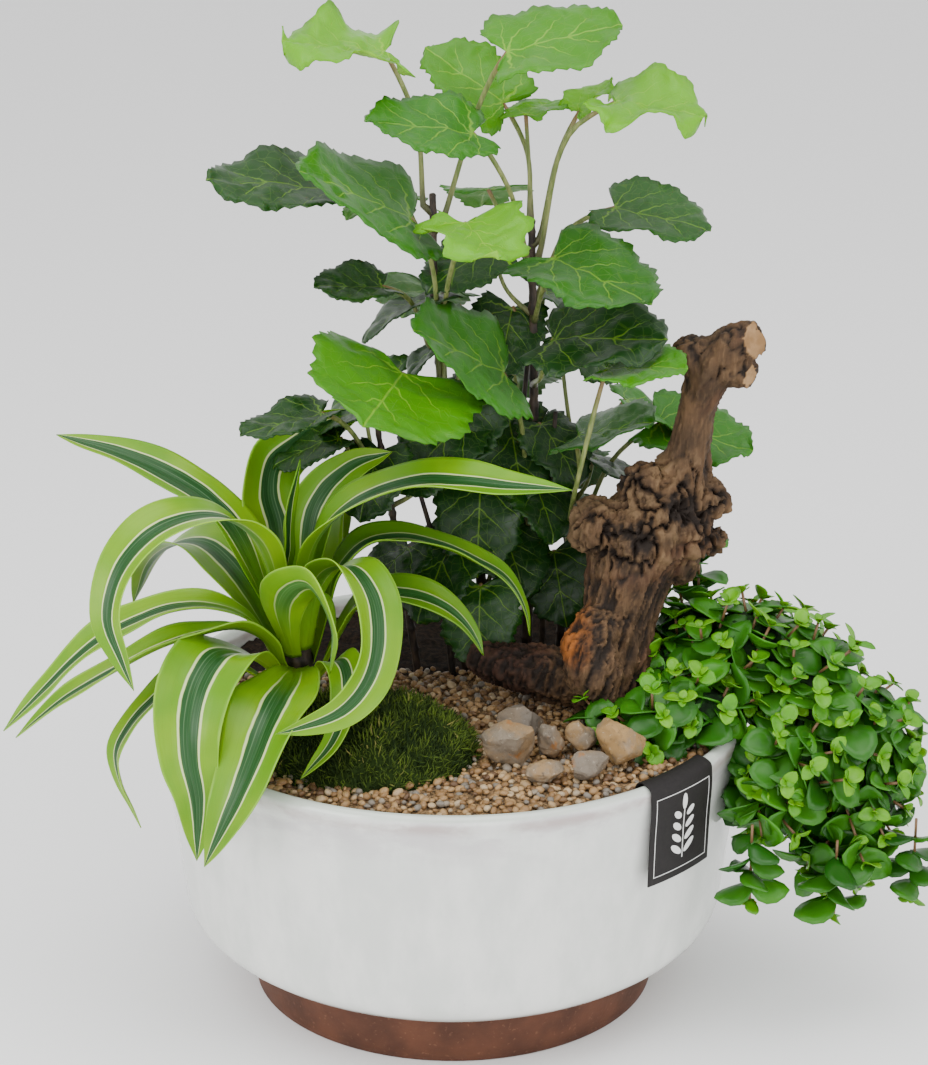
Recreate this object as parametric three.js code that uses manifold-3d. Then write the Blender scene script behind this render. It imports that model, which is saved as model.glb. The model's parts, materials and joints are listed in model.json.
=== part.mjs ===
// A dish garden: a glazed stoneware bowl of soil, planted with a striped dracaena, a round-leaved aralia
// and a creeping plant, and dressed with a moss cushion, gravel, seven stones and an upright piece of vine
// wood. Millimetres, +Z up, +Y to the back. The origin is the centre of the bowl's foot, on the surface it
// stands on.
import * as THREE from "three";
import { ConvexGeometry } from "three/addons/geometries/ConvexGeometry.js";
import { mergeVertices } from "three/addons/utils/BufferGeometryUtils.js";
import Module from "manifold-3d";

// ---- Driving dimensions ---------------------------------------------------------------------------------
const GAP = 0.4; // clearance kept between touching pieces
const BOWL = {
  rim: 150, height: 155, wall: 8, shoulder: 138.5, shoulderZ: 49, foot: 109, footZ: 27, base: 103.5,
};
const FOOT_GROOVE = { inner: 76, outer: 92, depth: 2 }; // a shallow ring in the flat underside
const FLOOR_THICKNESS = 12;
const SOIL_TOP = 146;
const GRAVEL_DEPTH = 4.2;
const PLANTED = 30; // how deep stems and wood stand in the soil
const LEAF_THICKNESS = 1.2;
const UP = new THREE.Vector3(0, 0, 1);

// ---- Solids: closed meshes, joined and cut with manifold-3d ---------------------------------------------
const wasm = await Module();
wasm.setup();

// A closed three.js geometry as a solid, turned face outwards if it came inside out.
function solid(geometry) {
  const bare = geometry.clone();
  bare.deleteAttribute("normal");
  bare.deleteAttribute("uv");
  const merged = mergeVertices(bare, 1e-4);
  const triVerts = new Uint32Array(merged.index.array);
  const build = () =>
    new wasm.Manifold(
      new wasm.Mesh({ numProp: 3, vertProperties: merged.attributes.position.array, triVerts }),
    );
  const made = build();
  if (made.volume() > 0) return made;
  for (let i = 0; i < triVerts.length; i += 3) {
    [triVerts[i + 1], triVerts[i + 2]] = [triVerts[i + 2], triVerts[i + 1]];
  }
  return build();
}

// The triangles of a solid as a geometry that a three.js mesh can hold.
function geometryOf(body) {
  const mesh = body.getMesh();
  const positions = new Float32Array(mesh.numVert * 3);
  for (let i = 0; i < mesh.numVert; i++) {
    positions.set(mesh.vertProperties.subarray(i * mesh.numProp, i * mesh.numProp + 3), i * 3);
  }
  const geometry = new THREE.BufferGeometry();
  geometry.setAttribute("position", new THREE.BufferAttribute(positions, 3));
  geometry.setIndex(new THREE.BufferAttribute(mesh.triVerts, 1));
  geometry.computeVertexNormals();
  return geometry;
}

// Joins several solids into one.
function joined(bodies) {
  return bodies.reduce((sum, body) => sum.add(body));
}

// The largest single body of a solid, without the crumbs that a cut can leave.
function largest(body) {
  return body.decompose().reduce((a, b) => (a.volume() > b.volume() ? a : b));
}

// A skin over rings of points, each ring with the same count, closed to one point at both ends.
function loft(rings, start, end) {
  const sides = rings[0].length;
  const points = [start, ...rings.flat(), end];
  const last = points.length - 1;
  const at = (ring, side) => 1 + ring * sides + (side % sides);
  const index = [];
  for (let side = 0; side < sides; side++) {
    index.push(0, at(0, side + 1), at(0, side));
    index.push(last, at(rings.length - 1, side), at(rings.length - 1, side + 1));
  }
  for (let ring = 0; ring < rings.length - 1; ring++) {
    for (let side = 0; side < sides; side++) {
      const [a, b] = [at(ring, side), at(ring, side + 1)];
      const [c, d] = [at(ring + 1, side), at(ring + 1, side + 1)];
      index.push(a, b, d, a, d, c);
    }
  }
  const geometry = new THREE.BufferGeometry().setFromPoints(points);
  geometry.setIndex(index);
  return geometry;
}

// A profile of [radius, height] corners turned about the Z axis, closed on the axis or on itself.
function turned(profile, segments) {
  const lathe = new THREE.LatheGeometry(profile.map(([r, z]) => new THREE.Vector2(r, z)), segments);
  return solid(lathe.rotateX(Math.PI / 2));
}

// An upright cylinder between two heights.
function drum(radius, low, high, x = 0, y = 0) {
  const cylinder = new THREE.CylinderGeometry(radius, radius, high - low, 64).rotateX(Math.PI / 2);
  return solid(cylinder.translate(x, y, (low + high) / 2));
}

// A box between two corners.
function block(low, high) {
  const size = high.map((h, i) => h - low[i]);
  const middle = high.map((h, i) => (h + low[i]) / 2);
  return solid(new THREE.BoxGeometry(...size).translate(...middle));
}

// A ball with triangular faces.
function ball([x, y, z], radius, detail = 2) {
  return solid(new THREE.IcosahedronGeometry(radius, detail).translate(x, y, z));
}

const vector = ([x, y, z]) => new THREE.Vector3(x, y, z);
const smooth = (t) => t * t * (3 - 2 * t);
const radians = (degrees) => (degrees * Math.PI) / 180;

// A round limb along a smooth curve through knots of [x, y, z, radius].
function limb(knots, sides, steps, grow = 0) {
  const curve = new THREE.CatmullRomCurve3(knots.map(vector));
  const rings = [];
  for (let i = 0; i <= steps; i++) {
    const t = i / steps;
    const place = t * (knots.length - 1);
    const k = Math.min(Math.floor(place), knots.length - 2);
    const radius = knots[k][3] + (knots[k + 1][3] - knots[k][3]) * (place - k) + grow;
    const centre = curve.getPoint(t);
    const along = curve.getTangent(t);
    const side = new THREE.Vector3(0, 1, 0).projectOnPlane(along).normalize();
    const other = along.clone().cross(side);
    const ring = [];
    for (let s = 0; s < sides; s++) {
      const angle = (2 * Math.PI * s) / sides;
      const out = side.clone().multiplyScalar(Math.cos(angle)).addScaledVector(other, Math.sin(angle));
      ring.push(centre.clone().addScaledVector(out, radius));
    }
    rings.push(ring);
  }
  const cap = (t, sign) =>
    curve.getPoint(t).addScaledVector(
      curve.getTangent(t),
      sign * (knots[sign < 0 ? 0 : knots.length - 1][3] + grow) * 0.35,
    );
  return solid(loft(rings, cap(0, -1), cap(1, 1)));
}

// ---- The bowl -------------------------------------------------------------------------------------------
// The outside of the wall from the foot to the lip, moved out by `off`.
function outerWall(off = 0) {
  const { rim, height, shoulder, shoulderZ, foot, footZ } = BOWL;
  return [
    [foot + off, footZ],
    [shoulder - 12 + off, shoulderZ - 13],
    [shoulder - 3.5 + off, shoulderZ - 5.5],
    [shoulder + off, shoulderZ + 3],
    [(shoulder + rim) / 2 + off, (shoulderZ + height) / 2],
    [rim - 1.5 + off, height - 14],
    [rim + off, height - 8],
    [rim + off, height - 3],
  ];
}

// The inside of the wall from the lip down to the floor, moved in by `off`.
function innerWall(off = 0) {
  const { rim, height, wall, shoulder, shoulderZ, foot, footZ } = BOWL;
  return [
    [rim - wall + 1 - off, height - 3],
    [rim - wall - off, height - 9],
    [shoulder - wall - 1 - off, shoulderZ + 4],
    [foot - 6 - off, footZ + 2 + off],
    [foot - 24 - off, FLOOR_THICKNESS + off],
  ];
}

function bowl() {
  const { rim, height, wall, foot, footZ, base } = BOWL;
  const lip = [[rim - 2, height - 0.5], [rim - wall / 2, height], [rim - wall + 2.6, height - 0.8]];
  const { inner, outer, depth } = FOOT_GROOVE;
  const profile = [
    [0, 0],
    [inner, 0],
    [inner + 2, depth],
    [outer - 2, depth],
    [outer, 0],
    [base, 0],
    [foot - 1, footZ - 1],
    ...outerWall(),
    ...lip,
    ...innerWall(),
    [0, FLOOR_THICKNESS],
  ];
  return turned(profile, 72);
}

// ---- The vine wood --------------------------------------------------------------------------------------
const TRUNK = [
  [79, -18, 119, 17], [80, -18, 150, 19], [81, -15, 176, 18.5], [83, -11, 200, 18.5], [88, -7, 222, 22],
  [95, -4, 243, 24], [107, -1, 259, 20], [114, 0, 271, 13.5], [117, 0, 286, 10.5], [120, 0, 305, 9.5],
  [124, 0, 322, 11.5], [128, 0, 333, 11.5],
];
const WOOD_LIMBS = [
  [[124, 0, 326, 11], [136, -2, 338, 11.5], [149, -4, 344, 9]], // right fork, sawn off
  [[130, -2, 326, 9], [141, -5, 326, 8], [147, -7, 324, 6.5]], // short stub below it
  [[124, 0, 322, 10], [117, 1, 334, 9.5], [115, 1, 341, 8]], // left fork
  [[76, -20, 204, 11], [67, -30, 192, 14.5], [71, -33, 176, 15], [77, -32, 163, 11]], // torn root in front
  [[72, -18, 167, 15], [46, -11, 170, 14], [24, -5, 172, 11.5], [10, -1, 175, 7.5]], // low arm
];
const WOOD_BURLS = [
  [73, -9, 247, 14], [128, -2, 259, 10], [112, -2, 244, 19], [112, -4, 226, 11],
  [86, -12, 236, 15], [92, -6, 268, 12], [128, -2, 238, 9],
];

function vineWood(grow = 0) {
  const limbs = WOOD_LIMBS.map((knots) => limb(knots, 9, 6, grow));
  const burls = WOOD_BURLS.map(([x, y, z, r]) => ball([x, y, z], r + grow, 1));
  return joined([limb(TRUNK, 11, 22, grow), ...limbs, ...burls]);
}

// ---- Long arching leaves --------------------------------------------------------------------------------
const CROWN = { x: -77, y: -35, radius: 8.5, top: 222 };

function crownCane(grow = 0) {
  const { x, y, radius, top } = CROWN;
  const knots = [[x, y, SOIL_TOP - PLANTED, radius], [x, y, 180, radius], [x, y, top, radius * 0.55]];
  return limb(knots, 10, 5, grow);
}

// Each leaf leaves the cane at `from` mm above the foot, and its midrib runs through `via`. Width is the
// widest point's, and twist turns the blade about the midrib, in degrees at the tip.
const DRACAENA_LEAVES = [
  { name: "far_left", from: 200, width: 29, twist: -25,
    via: [[-104, -24, 244], [-120, -12, 261], [-156, 0, 279], [-197, 10, 289]] },
  { name: "left_arch", from: 207, width: 31, twist: -35,
    via: [[-92, -50, 252], [-114, -66, 274], [-146, -88, 268], [-161, -102, 240], [-149, -112, 203]] },
  { name: "left_long", from: 191, width: 25, twist: -28,
    via: [[-104, -40, 213], [-132, -44, 219], [-174, -48, 202], [-197, -48, 180], [-222, -48, 154]] },
  { name: "left_low", from: 184, width: 28, twist: -28,
    via: [[-98, -58, 212], [-128, -70, 213], [-158, -76, 201], [-188, -80, 184], [-210, -85, 167]] },
  { name: "left_hanging", from: 173, width: 18, twist: -20,
    via: [[-117, -50, 192], [-141, -58, 180], [-165, -60, 148], [-155, -56, 105]] },
  { name: "front_left", from: 179, width: 36, twist: -10,
    via: [[-102, -68, 204], [-116, -96, 209], [-124, -116, 182], [-120, -123, 151], [-121, -125, 121]] },
  { name: "front", from: 186, width: 38, twist: 12,
    via: [[-77, -70, 193], [-86, -108, 189], [-99, -134, 162], [-116, -141, 126]] },
  { name: "right_curl", from: 199, width: 27, twist: 10,
    via: [[-66, -52, 232], [-52, -66, 249], [-38, -84, 240],
      [-37, -104, 212], [-53, -120, 195], [-82, -130, 189]] },
  { name: "inner_arch", from: 195, width: 26, twist: 10,
    via: [[-82, -59, 226], [-68, -79, 243], [-57, -91, 228], [-58, -93, 204]] },
  { name: "front_right", from: 174, width: 17, twist: 10,
    via: [[-60, -58, 194], [-52, -75, 201], [-50, -94, 191], [-57, -107, 174], [-72, -113, 158]] },
  { name: "right_long", from: 209, width: 34, twist: 25,
    via: [[-70, -37, 238], [-61, -40, 259], [-42, -44, 275],
      [-13, -48, 285], [22, -52, 284], [57, -56, 283]] },
  { name: "right_droop", from: 189, width: 25, twist: 10,
    via: [[-50, -28, 240], [-26, -20, 246], [9, -20, 235], [32, -24, 219], [38, -29, 197]] },
  { name: "right_low", from: 177, width: 25, twist: 5,
    via: [[-41, -38, 221], [-11, -46, 223], [7, -50, 211], [15, -52, 196]] },
  { name: "back_upright", from: 203, width: 31, twist: 15,
    via: [[-88, -2, 246], [-92, 12, 268], [-73, 25, 284], [-44, 36, 293]] },
  { name: "inner_right", from: 213, width: 23, twist: 20,
    via: [[-68, -14, 260], [-51, -4, 277], [-30, 7, 281]] },
  { name: "youngest", from: 217, width: 13, twist: 0,
    via: [[-82, -33, 240], [-80, -29, 264], [-74, -24, 288]] },
  { name: "back_left", from: 182, width: 33, twist: 0,
    via: [[-104, -4, 214], [-126, 18, 228], [-152, 42, 214], [-168, 58, 180]] },
  { name: "back_long", from: 178, width: 34, twist: 0,
    via: [[-74, 0, 216], [-72, 32, 238], [-66, 66, 228], [-62, 92, 190]] },
];
const ARCH_RINGS = 9;

// How wide an arching leaf is at t along it, as a share of its widest: clasping at the base, pointed at
// the tip.
function archWidth(t) {
  return (0.3 + 0.7 * smooth(Math.min(t / 0.42, 1))) * Math.pow(1 - Math.pow(t, 3), 0.85);
}

// Four points round the midrib: left margin, upper face, right margin, under face.
function bladeRing(middle, side, face, halfWidth, lift, thickness = LEAF_THICKNESS) {
  const raised = middle.clone().addScaledVector(face, lift);
  return [
    raised.clone().addScaledVector(side, -halfWidth),
    middle.clone().addScaledVector(face, thickness / 2),
    raised.clone().addScaledVector(side, halfWidth),
    middle.clone().addScaledVector(face, -thickness / 2),
  ];
}

function archingLeaf({ from, width, twist, via }) {
  const out = new THREE.Vector3(via[0][0] - CROWN.x, via[0][1] - CROWN.y, 0).normalize();
  const stem = new THREE.Vector3(CROWN.x, CROWN.y, from);
  const start = stem.clone().addScaledVector(out, CROWN.radius + GAP + 0.8);
  const curve = new THREE.CatmullRomCurve3([start, ...via.map(vector)]);
  const face = out.clone().negate().addScaledVector(UP, 0.3);
  const rings = [];
  for (let i = 0; i < ARCH_RINGS; i++) {
    const t = (i + 0.35) / ARCH_RINGS;
    const along = curve.getTangentAt(t);
    face.projectOnPlane(along).normalize();
    const turn = radians(twist) * smooth(t);
    const turnedFace = face.clone().applyAxisAngle(along, turn);
    const side = along.clone().cross(turnedFace);
    const half = (width / 2) * archWidth(t);
    rings.push(bladeRing(curve.getPointAt(t), side, turnedFace, half, half * 0.28));
  }
  return solid(loft(rings, start, curve.getPointAt(1)));
}

// ---- Round toothed leaves on long stalks ----------------------------------------------------------------
const CANES = [
  [
    [22, 50, SOIL_TOP - PLANTED, 3.2], [14, 48, 200, 3], [-2, 44, 280, 2.6], [-9, 41, 345, 2.3],
    [-10, 40, 404, 1.8],
  ],
  [[38, 56, SOIL_TOP - PLANTED, 3.2], [39, 55, 200, 3], [41, 51, 290, 2.5], [39, 47, 388, 1.8]],
  [[54, 62, SOIL_TOP - PLANTED, 2.8], [59, 64, 200, 2.5], [63, 62, 264, 1.8]],
  [[-14, 42, SOIL_TOP - PLANTED, 2.4], [-28, 32, 220, 2], [-38, 22, 290, 1.5]],
];

// Each leaf's stalk leaves cane number `cane` at height `from`, may bend at `bend`, and joins the blade at
// `joint`. The blade runs to `tip`, `width` wide, and roll turns it about its midrib, in degrees.
const ARALIA_LEAVES = [
  { name: "top_left", cane: 0, from: 398, bend: [-18, 42, 440], joint: [-32, 40, 474],
    tip: [-82, 26, 482], width: 60, roll: -12 },
  { name: "top", cane: 0, from: 390, bend: [12, 40, 446], joint: [25, 30, 476],
    tip: [82, 36, 488], width: 66, roll: 18 },
  { name: "top_back", cane: 1, from: 386, bend: [37, 58, 420], joint: [26, 70, 442],
    tip: [-14, 84, 468], width: 46, roll: -30 },
  { name: "high_left", cane: 1, from: 368, bend: [27, 20, 412], joint: [11, 15, 440],
    tip: [-42, 0, 449], width: 48, roll: -22 },
  { name: "young_right", cane: 1, from: 380, bend: [52, 52, 420], joint: [62, 54, 442],
    tip: [79, 60, 457], width: 30, roll: 0 },
  { name: "high_right", cane: 1, from: 372, bend: [56, 34, 434], joint: [77, 25, 453],
    tip: [122, 12, 450], width: 60, roll: 8 },
  { name: "far_left", cane: 0, from: 382, bend: [-36, 44, 402], joint: [-58, 40, 406],
    tip: [-120, 22, 415], width: 60, roll: -14 },
  { name: "upper_left", cane: 0, from: 312, bend: [-10, 22, 372], joint: [-19, 4, 400],
    tip: [-72, -22, 430], width: 76, roll: -22 },
  { name: "middle_young", cane: 0, from: 292, bend: [-4, 30, 350], joint: [6, -8, 402],
    tip: [22, -40, 392], width: 52, roll: 0 },
  { name: "upper_right", cane: 1, from: 352, bend: [58, 62, 380], joint: [80, 62, 392],
    tip: [128, 44, 384], width: 54, roll: 12 },
  { name: "right", cane: 1, from: 338, bend: [44, 22, 360], joint: [48, 11, 380],
    tip: [95, -26, 366], width: 64, roll: 10 },
  { name: "left_small", cane: 0, from: 326, bend: [-22, 34, 352], joint: [-34, 25, 361],
    tip: [-68, 12, 364], width: 36, roll: -15 },
  { name: "front_left", cane: 0, from: 262, bend: [-14, 14, 308], joint: [-24, -8, 327],
    tip: [-42, -66, 318], width: 84, roll: -24 },
  { name: "front", cane: 1, from: 232, bend: [34, 28, 290], joint: [26, 8, 321],
    tip: [-19, -18, 351], width: 72, roll: -30 },
  { name: "right_dark", cane: 1, from: 305, bend: [44, 17, 318], joint: [48, 8, 339],
    tip: [104, -14, 345], width: 60, roll: 20 },
  { name: "low_right", cane: 2, from: 240, bend: [64, 32, 262], joint: [62, 25, 283],
    tip: [100, 6, 297], width: 56, roll: 8 },
  { name: "right_light", cane: 2, from: 222, bend: [60, -4, 262], joint: [74, -12, 330],
    tip: [113, -26, 334], width: 46, roll: 10 },
  { name: "behind_wood", cane: 2, from: 212, bend: [82, 62, 258], joint: [104, 62, 278],
    tip: [153, 46, 268], width: 56, roll: 16 },
  { name: "left_edge", cane: 3, from: 262, bend: [-52, 6, 294], joint: [-63, -10, 307],
    tip: [-103, -26, 300], width: 34, roll: -4 },
];
const STALK = { radius: 1.3, rings: 6 };
// The blade's margin against its midrib, both as shares of its length: [margin along, margin out, midrib
// along]. The first rows are the lobes that reach back beside the stalk.
const BLADE_OUTLINE = [
  [-0.08, 0.16, 0.02], [-0.14, 0.33, 0.07], [-0.03, 0.46, 0.17], [0.17, 0.5, 0.31],
  [0.42, 0.49, 0.5], [0.68, 0.41, 0.7], [0.9, 0.23, 0.89],
];

function stalkedLeaf({ cane, from, bend, joint, tip, width, roll }) {
  const knots = CANES[cane];
  const caneCurve = new THREE.CatmullRomCurve3(knots.map(vector));
  const stem = caneAt(caneCurve, from);
  const towards = vector(bend).sub(stem).setZ(0).normalize();
  const start = stem.clone().addScaledVector(towards, knots[0][3] + GAP + STALK.radius);
  const stalk = new THREE.CatmullRomCurve3([start, vector(bend), vector(joint)]);
  const rings = [];
  for (let i = 0; i < STALK.rings; i++) {
    const t = (i + 0.4) / STALK.rings;
    const along = stalk.getTangentAt(t);
    const side = along.clone().cross(UP).normalize();
    const face = side.clone().cross(along);
    rings.push(bladeRing(stalk.getPointAt(t), side, face, STALK.radius, 0, STALK.radius * 2));
  }
  const root = vector(joint);
  const midrib = vector(tip).sub(root);
  const length = midrib.length();
  midrib.normalize();
  const face = UP.clone().projectOnPlane(midrib).normalize().applyAxisAngle(midrib, radians(roll));
  const side = midrib.clone().cross(face);
  for (const [marginAlong, out, along] of BLADE_OUTLINE) {
    const middle = root.clone().addScaledVector(midrib, along * length);
    const margin = root.clone().addScaledVector(midrib, marginAlong * length);
    const ring = bladeRing(middle, side, face, 0, 0);
    ring[0] = margin.clone().addScaledVector(side, -out * width).addScaledVector(face, out * out * 14);
    ring[2] = margin.clone().addScaledVector(side, out * width).addScaledVector(face, out * out * 14);
    rings.push(ring);
  }
  return solid(loft(rings, start, vector(tip)));
}

// The point of a cane's centre line at a height.
function caneAt(curve, height) {
  let [low, high] = [0, 1];
  for (let i = 0; i < 20; i++) {
    const middle = (low + high) / 2;
    if (curve.getPoint(middle).z < height) low = middle;
    else high = middle;
  }
  return curve.getPoint(low);
}

// ---- The creeping plant ---------------------------------------------------------------------------------
// Mounds of foliage that run together, each [x, y, z, radius], from inside the bowl out over its right
// side.
const CREEPER_MOUNDS = [
  [121, 14, 178, 24], [95, -12, 171, 17], [146, -8, 178, 29], [122, -46, 163, 22], [98, -57, 163, 15],
  [76, -49, 157, 10], [175, -20, 165, 29], [198, -34, 152, 25], [168, -56, 140, 24], [207, -44, 117, 22],
  [195, -50, 92, 18], [219, -36, 138, 14], [158, -68, 128, 17], [160, 30, 168, 22],
];
// Runners that leave the mound and hang clear of the bowl, and one shoot that stands up.
const CREEPER_RUNNERS = [
  { name: "front", path: [[143, -93, 116], [144, -95, 105], [145, -95, 93], [145, -93, 82]] },
  { name: "middle", path: [[182, -78, 100], [186, -80, 88], [189, -78, 76], [190, -74, 66]] },
  { name: "right", path: [[222, -64, 104], [227, -64, 92], [230, -61, 80], [230, -57, 68]] },
  { name: "upright", path: [[126, 18, 205], [125, 19, 214], [124, 18, 223], [125, 17, 232]] },
];
const RUNNER = { stem: 1.1, leaf: 14, leafThickness: 1.1, pairs: 4 };

function creeperMound() {
  const mound = joined(CREEPER_MOUNDS.map(([x, y, z, r]) => ball([x, y, z], r, 2)));
  const top = BOWL.height + 0.6;
  const outline = [[0, -1], [BOWL.rim + 1, -1], ...outerWall(1).slice(4), [BOWL.rim + 1, top], [0, top]];
  const bowlSpace = turned(outline, 72);
  return largest(mound.subtract(bowlSpace).subtract(vineWood(1)).subtract(labelSpace()));
}

// A small round leaf lying across a runner, as a flat disc with a soft edge.
function runnerLeaf(centre, heading) {
  const { leaf, leafThickness } = RUNNER;
  const disc = new THREE.CylinderGeometry(leaf / 2, leaf / 2, leafThickness, 10).rotateX(Math.PI / 2);
  disc.rotateX(radians(-18)).rotateZ(heading);
  return solid(disc.translate(centre.x, centre.y, centre.z));
}

function creeperRunner({ path }) {
  const curve = new THREE.CatmullRomCurve3(path.map(vector));
  const bodies = [limb(path.map((p) => [...p, RUNNER.stem]), 5, 6)];
  for (let pair = 0; pair < RUNNER.pairs; pair++) {
    const t = (pair + 0.6) / RUNNER.pairs;
    const node = curve.getPoint(t);
    const heading = pair * radians(90);
    for (const turn of [0, Math.PI]) {
      const out = new THREE.Vector3(Math.sin(heading + turn), -Math.cos(heading + turn), 0);
      bodies.push(runnerLeaf(node.clone().addScaledVector(out, RUNNER.leaf * 0.46), heading + turn));
    }
  }
  return joined(bodies);
}

// ---- Ground: soil, moss, gravel and stones --------------------------------------------------------------
const MOSS = { x: -42, y: -62, radiusX: 55, radiusY: 50, rise: 30 };

function mossCushion(grow = 0) {
  const { x, y, radiusX, radiusY, rise } = MOSS;
  const dome = new THREE.SphereGeometry(1, 24, 14).rotateX(Math.PI / 2);
  dome.scale(radiusX + grow, radiusY + grow, rise + grow).translate(x, y, SOIL_TOP + GAP);
  const inside = drum(BOWL.rim - BOWL.wall - 1.5 + grow, SOIL_TOP + GAP - grow, SOIL_TOP + 60);
  return solid(dome).intersect(inside).subtract(crownCane(GAP));
}

function gravelBed() {
  const bed = drum(BOWL.rim - BOWL.wall - 1.5, SOIL_TOP + GAP, SOIL_TOP + GAP + GRAVEL_DEPTH);
  const back = block([-200, 34, 100], [200, 200, 200]);
  const planted = mossCushion(GAP).add(crownCane(GAP)).add(vineWood(GAP));
  return largest(bed.subtract(back).subtract(planted));
}

function soil() {
  const wall = innerWall(GAP).slice(1);
  const edge = [BOWL.rim - BOWL.wall - GAP, SOIL_TOP];
  const profile = [[0, FLOOR_THICKNESS + GAP], ...wall.reverse(), edge, [0, SOIL_TOP]];
  const planted = [crownCane(GAP), vineWood(GAP), ...CANES.map((knots) => limb(knots, 8, 12, GAP))];
  return planted.reduce((ground, stem) => ground.subtract(stem), turned(profile, 48));
}

// Each stone's centre on the gravel, its three half sizes, its turn about Z in degrees, and a seed for its
// facets.
const STONES = [
  { at: [34, -48], half: [15, 11, 10], turn: 25, seed: 3 },
  { at: [28, -78], half: [16, 12, 12], turn: -12, seed: 8 },
  { at: [48, -70], half: [8, 7, 10], turn: 40, seed: 5 },
  { at: [62, -67], half: [9, 7, 10], turn: -30, seed: 11 },
  { at: [80, -79], half: [14, 12, 13], turn: -38, seed: 2 },
  { at: [44, -101], half: [11, 8, 6.5], turn: 10, seed: 14 },
  { at: [65, -97], half: [12, 8, 8], turn: 22, seed: 7 },
];

// A broken stone: the hull of points pushed in and out on a ball, set down on the gravel.
function stone({ at, half, turn, seed }) {
  const points = [];
  for (let i = 0; i < 22; i++) {
    const z = 1 - (2 * i + 1) / 22;
    const angle = i * 2.4 + seed;
    const reach = 0.86 + 0.14 * Math.sin(seed * 1.7 + i * 2.9);
    const level = Math.sqrt(1 - z * z);
    const spot = new THREE.Vector3(Math.cos(angle) * level, Math.sin(angle) * level, z);
    points.push(spot.multiplyScalar(reach));
  }
  const hull = new ConvexGeometry(points).scale(...half).rotateZ(radians(turn));
  hull.computeBoundingBox();
  const lift = SOIL_TOP + 2 * GAP + GRAVEL_DEPTH - hull.boundingBox.min.z;
  return solid(hull.translate(at[0], at[1], lift));
}

// ---- The blank label hooked over the rim ----------------------------------------------------------------
const LABEL = { heading: 47, width: 46, drop: 52, thickness: 0.9 };

// A wedge of space about the label's heading, `degrees` wide.
function labelWedge(degrees) {
  const half = Math.tan(radians(degrees / 2)) * 200;
  const corners = [[0, 0], [half, -200], [-half, -200]].map(([x, y]) => new THREE.Vector2(x, y));
  const wedge = new THREE.Shape(corners);
  const prism = new THREE.ExtrudeGeometry(wedge, { depth: 200, bevelEnabled: false });
  return solid(prism.rotateZ(radians(LABEL.heading)));
}

function labelTag() {
  const { drop, thickness, width } = LABEL;
  const { rim, height, wall } = BOWL;
  const slope = (rim - BOWL.shoulder) / (height - BOWL.shoulderZ) / 2;
  const section = [
    [rim - wall - 1.6, SOIL_TOP + 2 * GAP + GRAVEL_DEPTH],
    [rim - wall - 1.6, height - 2],
    [rim - wall + 2, height + GAP],
    [rim - 2, height + GAP],
    [rim + 1, height - 2],
    [rim + 0.8 - slope * drop * 0.4, height - drop],
  ];
  const outside = section.map(([r, z], i) => {
    if (i === 0) return [r - thickness, z];
    if (i === section.length - 1) return [r + thickness, z];
    const crest = i === 2 || i === 3;
    return [r + (i < 3 ? -thickness : thickness) * (crest ? 0.4 : 1), z + (crest ? thickness : 0)];
  });
  const band = turned([...section, ...outside.reverse(), section[0]], 96);
  return largest(band.intersect(labelWedge((width / rim / Math.PI) * 180)));
}

// Space kept clear for the label and its lead over the rim.
function labelSpace() {
  const [near, far] = [BOWL.rim - 16, BOWL.rim + 5];
  return turned([[near, 90], [far, 90], [far, 170], [near, 170], [near, 90]], 48)
    .intersect(labelWedge((LABEL.width / BOWL.rim / Math.PI) * 180 + 3));
}

// ---- The assembly ---------------------------------------------------------------------------------------
const material = (color, roughness) => new THREE.MeshStandardMaterial({ color, roughness, metalness: 0 });
const MATERIALS = {
  glaze: material("#d9dad2", 0.2),
  soil: material("#2a1d15", 0.95),
  gravel: material("#a98d62", 0.8),
  moss: material("#263a12", 0.95),
  wood: material("#5f4128", 0.85),
  stone: material("#a89880", 0.8),
  label: material("#35302f", 0.6),
  dracaena: material("#7fae1e", 0.4),
  aralia: material("#3f7d1f", 0.4),
  cane: material("#2b211c", 0.7),
  creeper: material("#4c9127", 0.45),
};
const garden = new THREE.Group();

function place(name, body, slot) {
  const mesh = new THREE.Mesh(geometryOf(body), MATERIALS[slot]);
  mesh.name = name;
  garden.add(mesh);
}

place("bowl", bowl(), "glaze");
place("potting_soil", soil(), "soil");
place("moss_cushion", mossCushion(), "moss");
place("gravel_bed", gravelBed(), "gravel");
place("vine_wood", vineWood(), "wood");
place("label_tag", labelTag(), "label");
STONES.forEach((row, i) => place(`stone_${i + 1}`, stone(row), "stone"));
place("dracaena_cane", crownCane(), "cane");
DRACAENA_LEAVES.forEach((row) => place(`dracaena_leaf_${row.name}`, archingLeaf(row), "dracaena"));
CANES.forEach((knots, i) => place(`aralia_cane_${i + 1}`, limb(knots, 8, 12), "cane"));
ARALIA_LEAVES.forEach((row) => place(`aralia_leaf_${row.name}`, stalkedLeaf(row), "aralia"));
place("creeper_mound", creeperMound(), "creeper");
CREEPER_RUNNERS.forEach((row) => place(`creeper_runner_${row.name}`, creeperRunner(row), "creeper"));

export default garden;
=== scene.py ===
# %% [markdown]
# # A dish garden
# A glazed bowl of soil with three plants, moss, gravel, stones and a piece of vine wood. The solids of the
# part give every place and size. Each cell below puts a finished piece over one or more of those solids, in
# metres.

import bpy
import bmesh
import json
import math
import numpy as np
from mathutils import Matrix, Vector, noise

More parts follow.
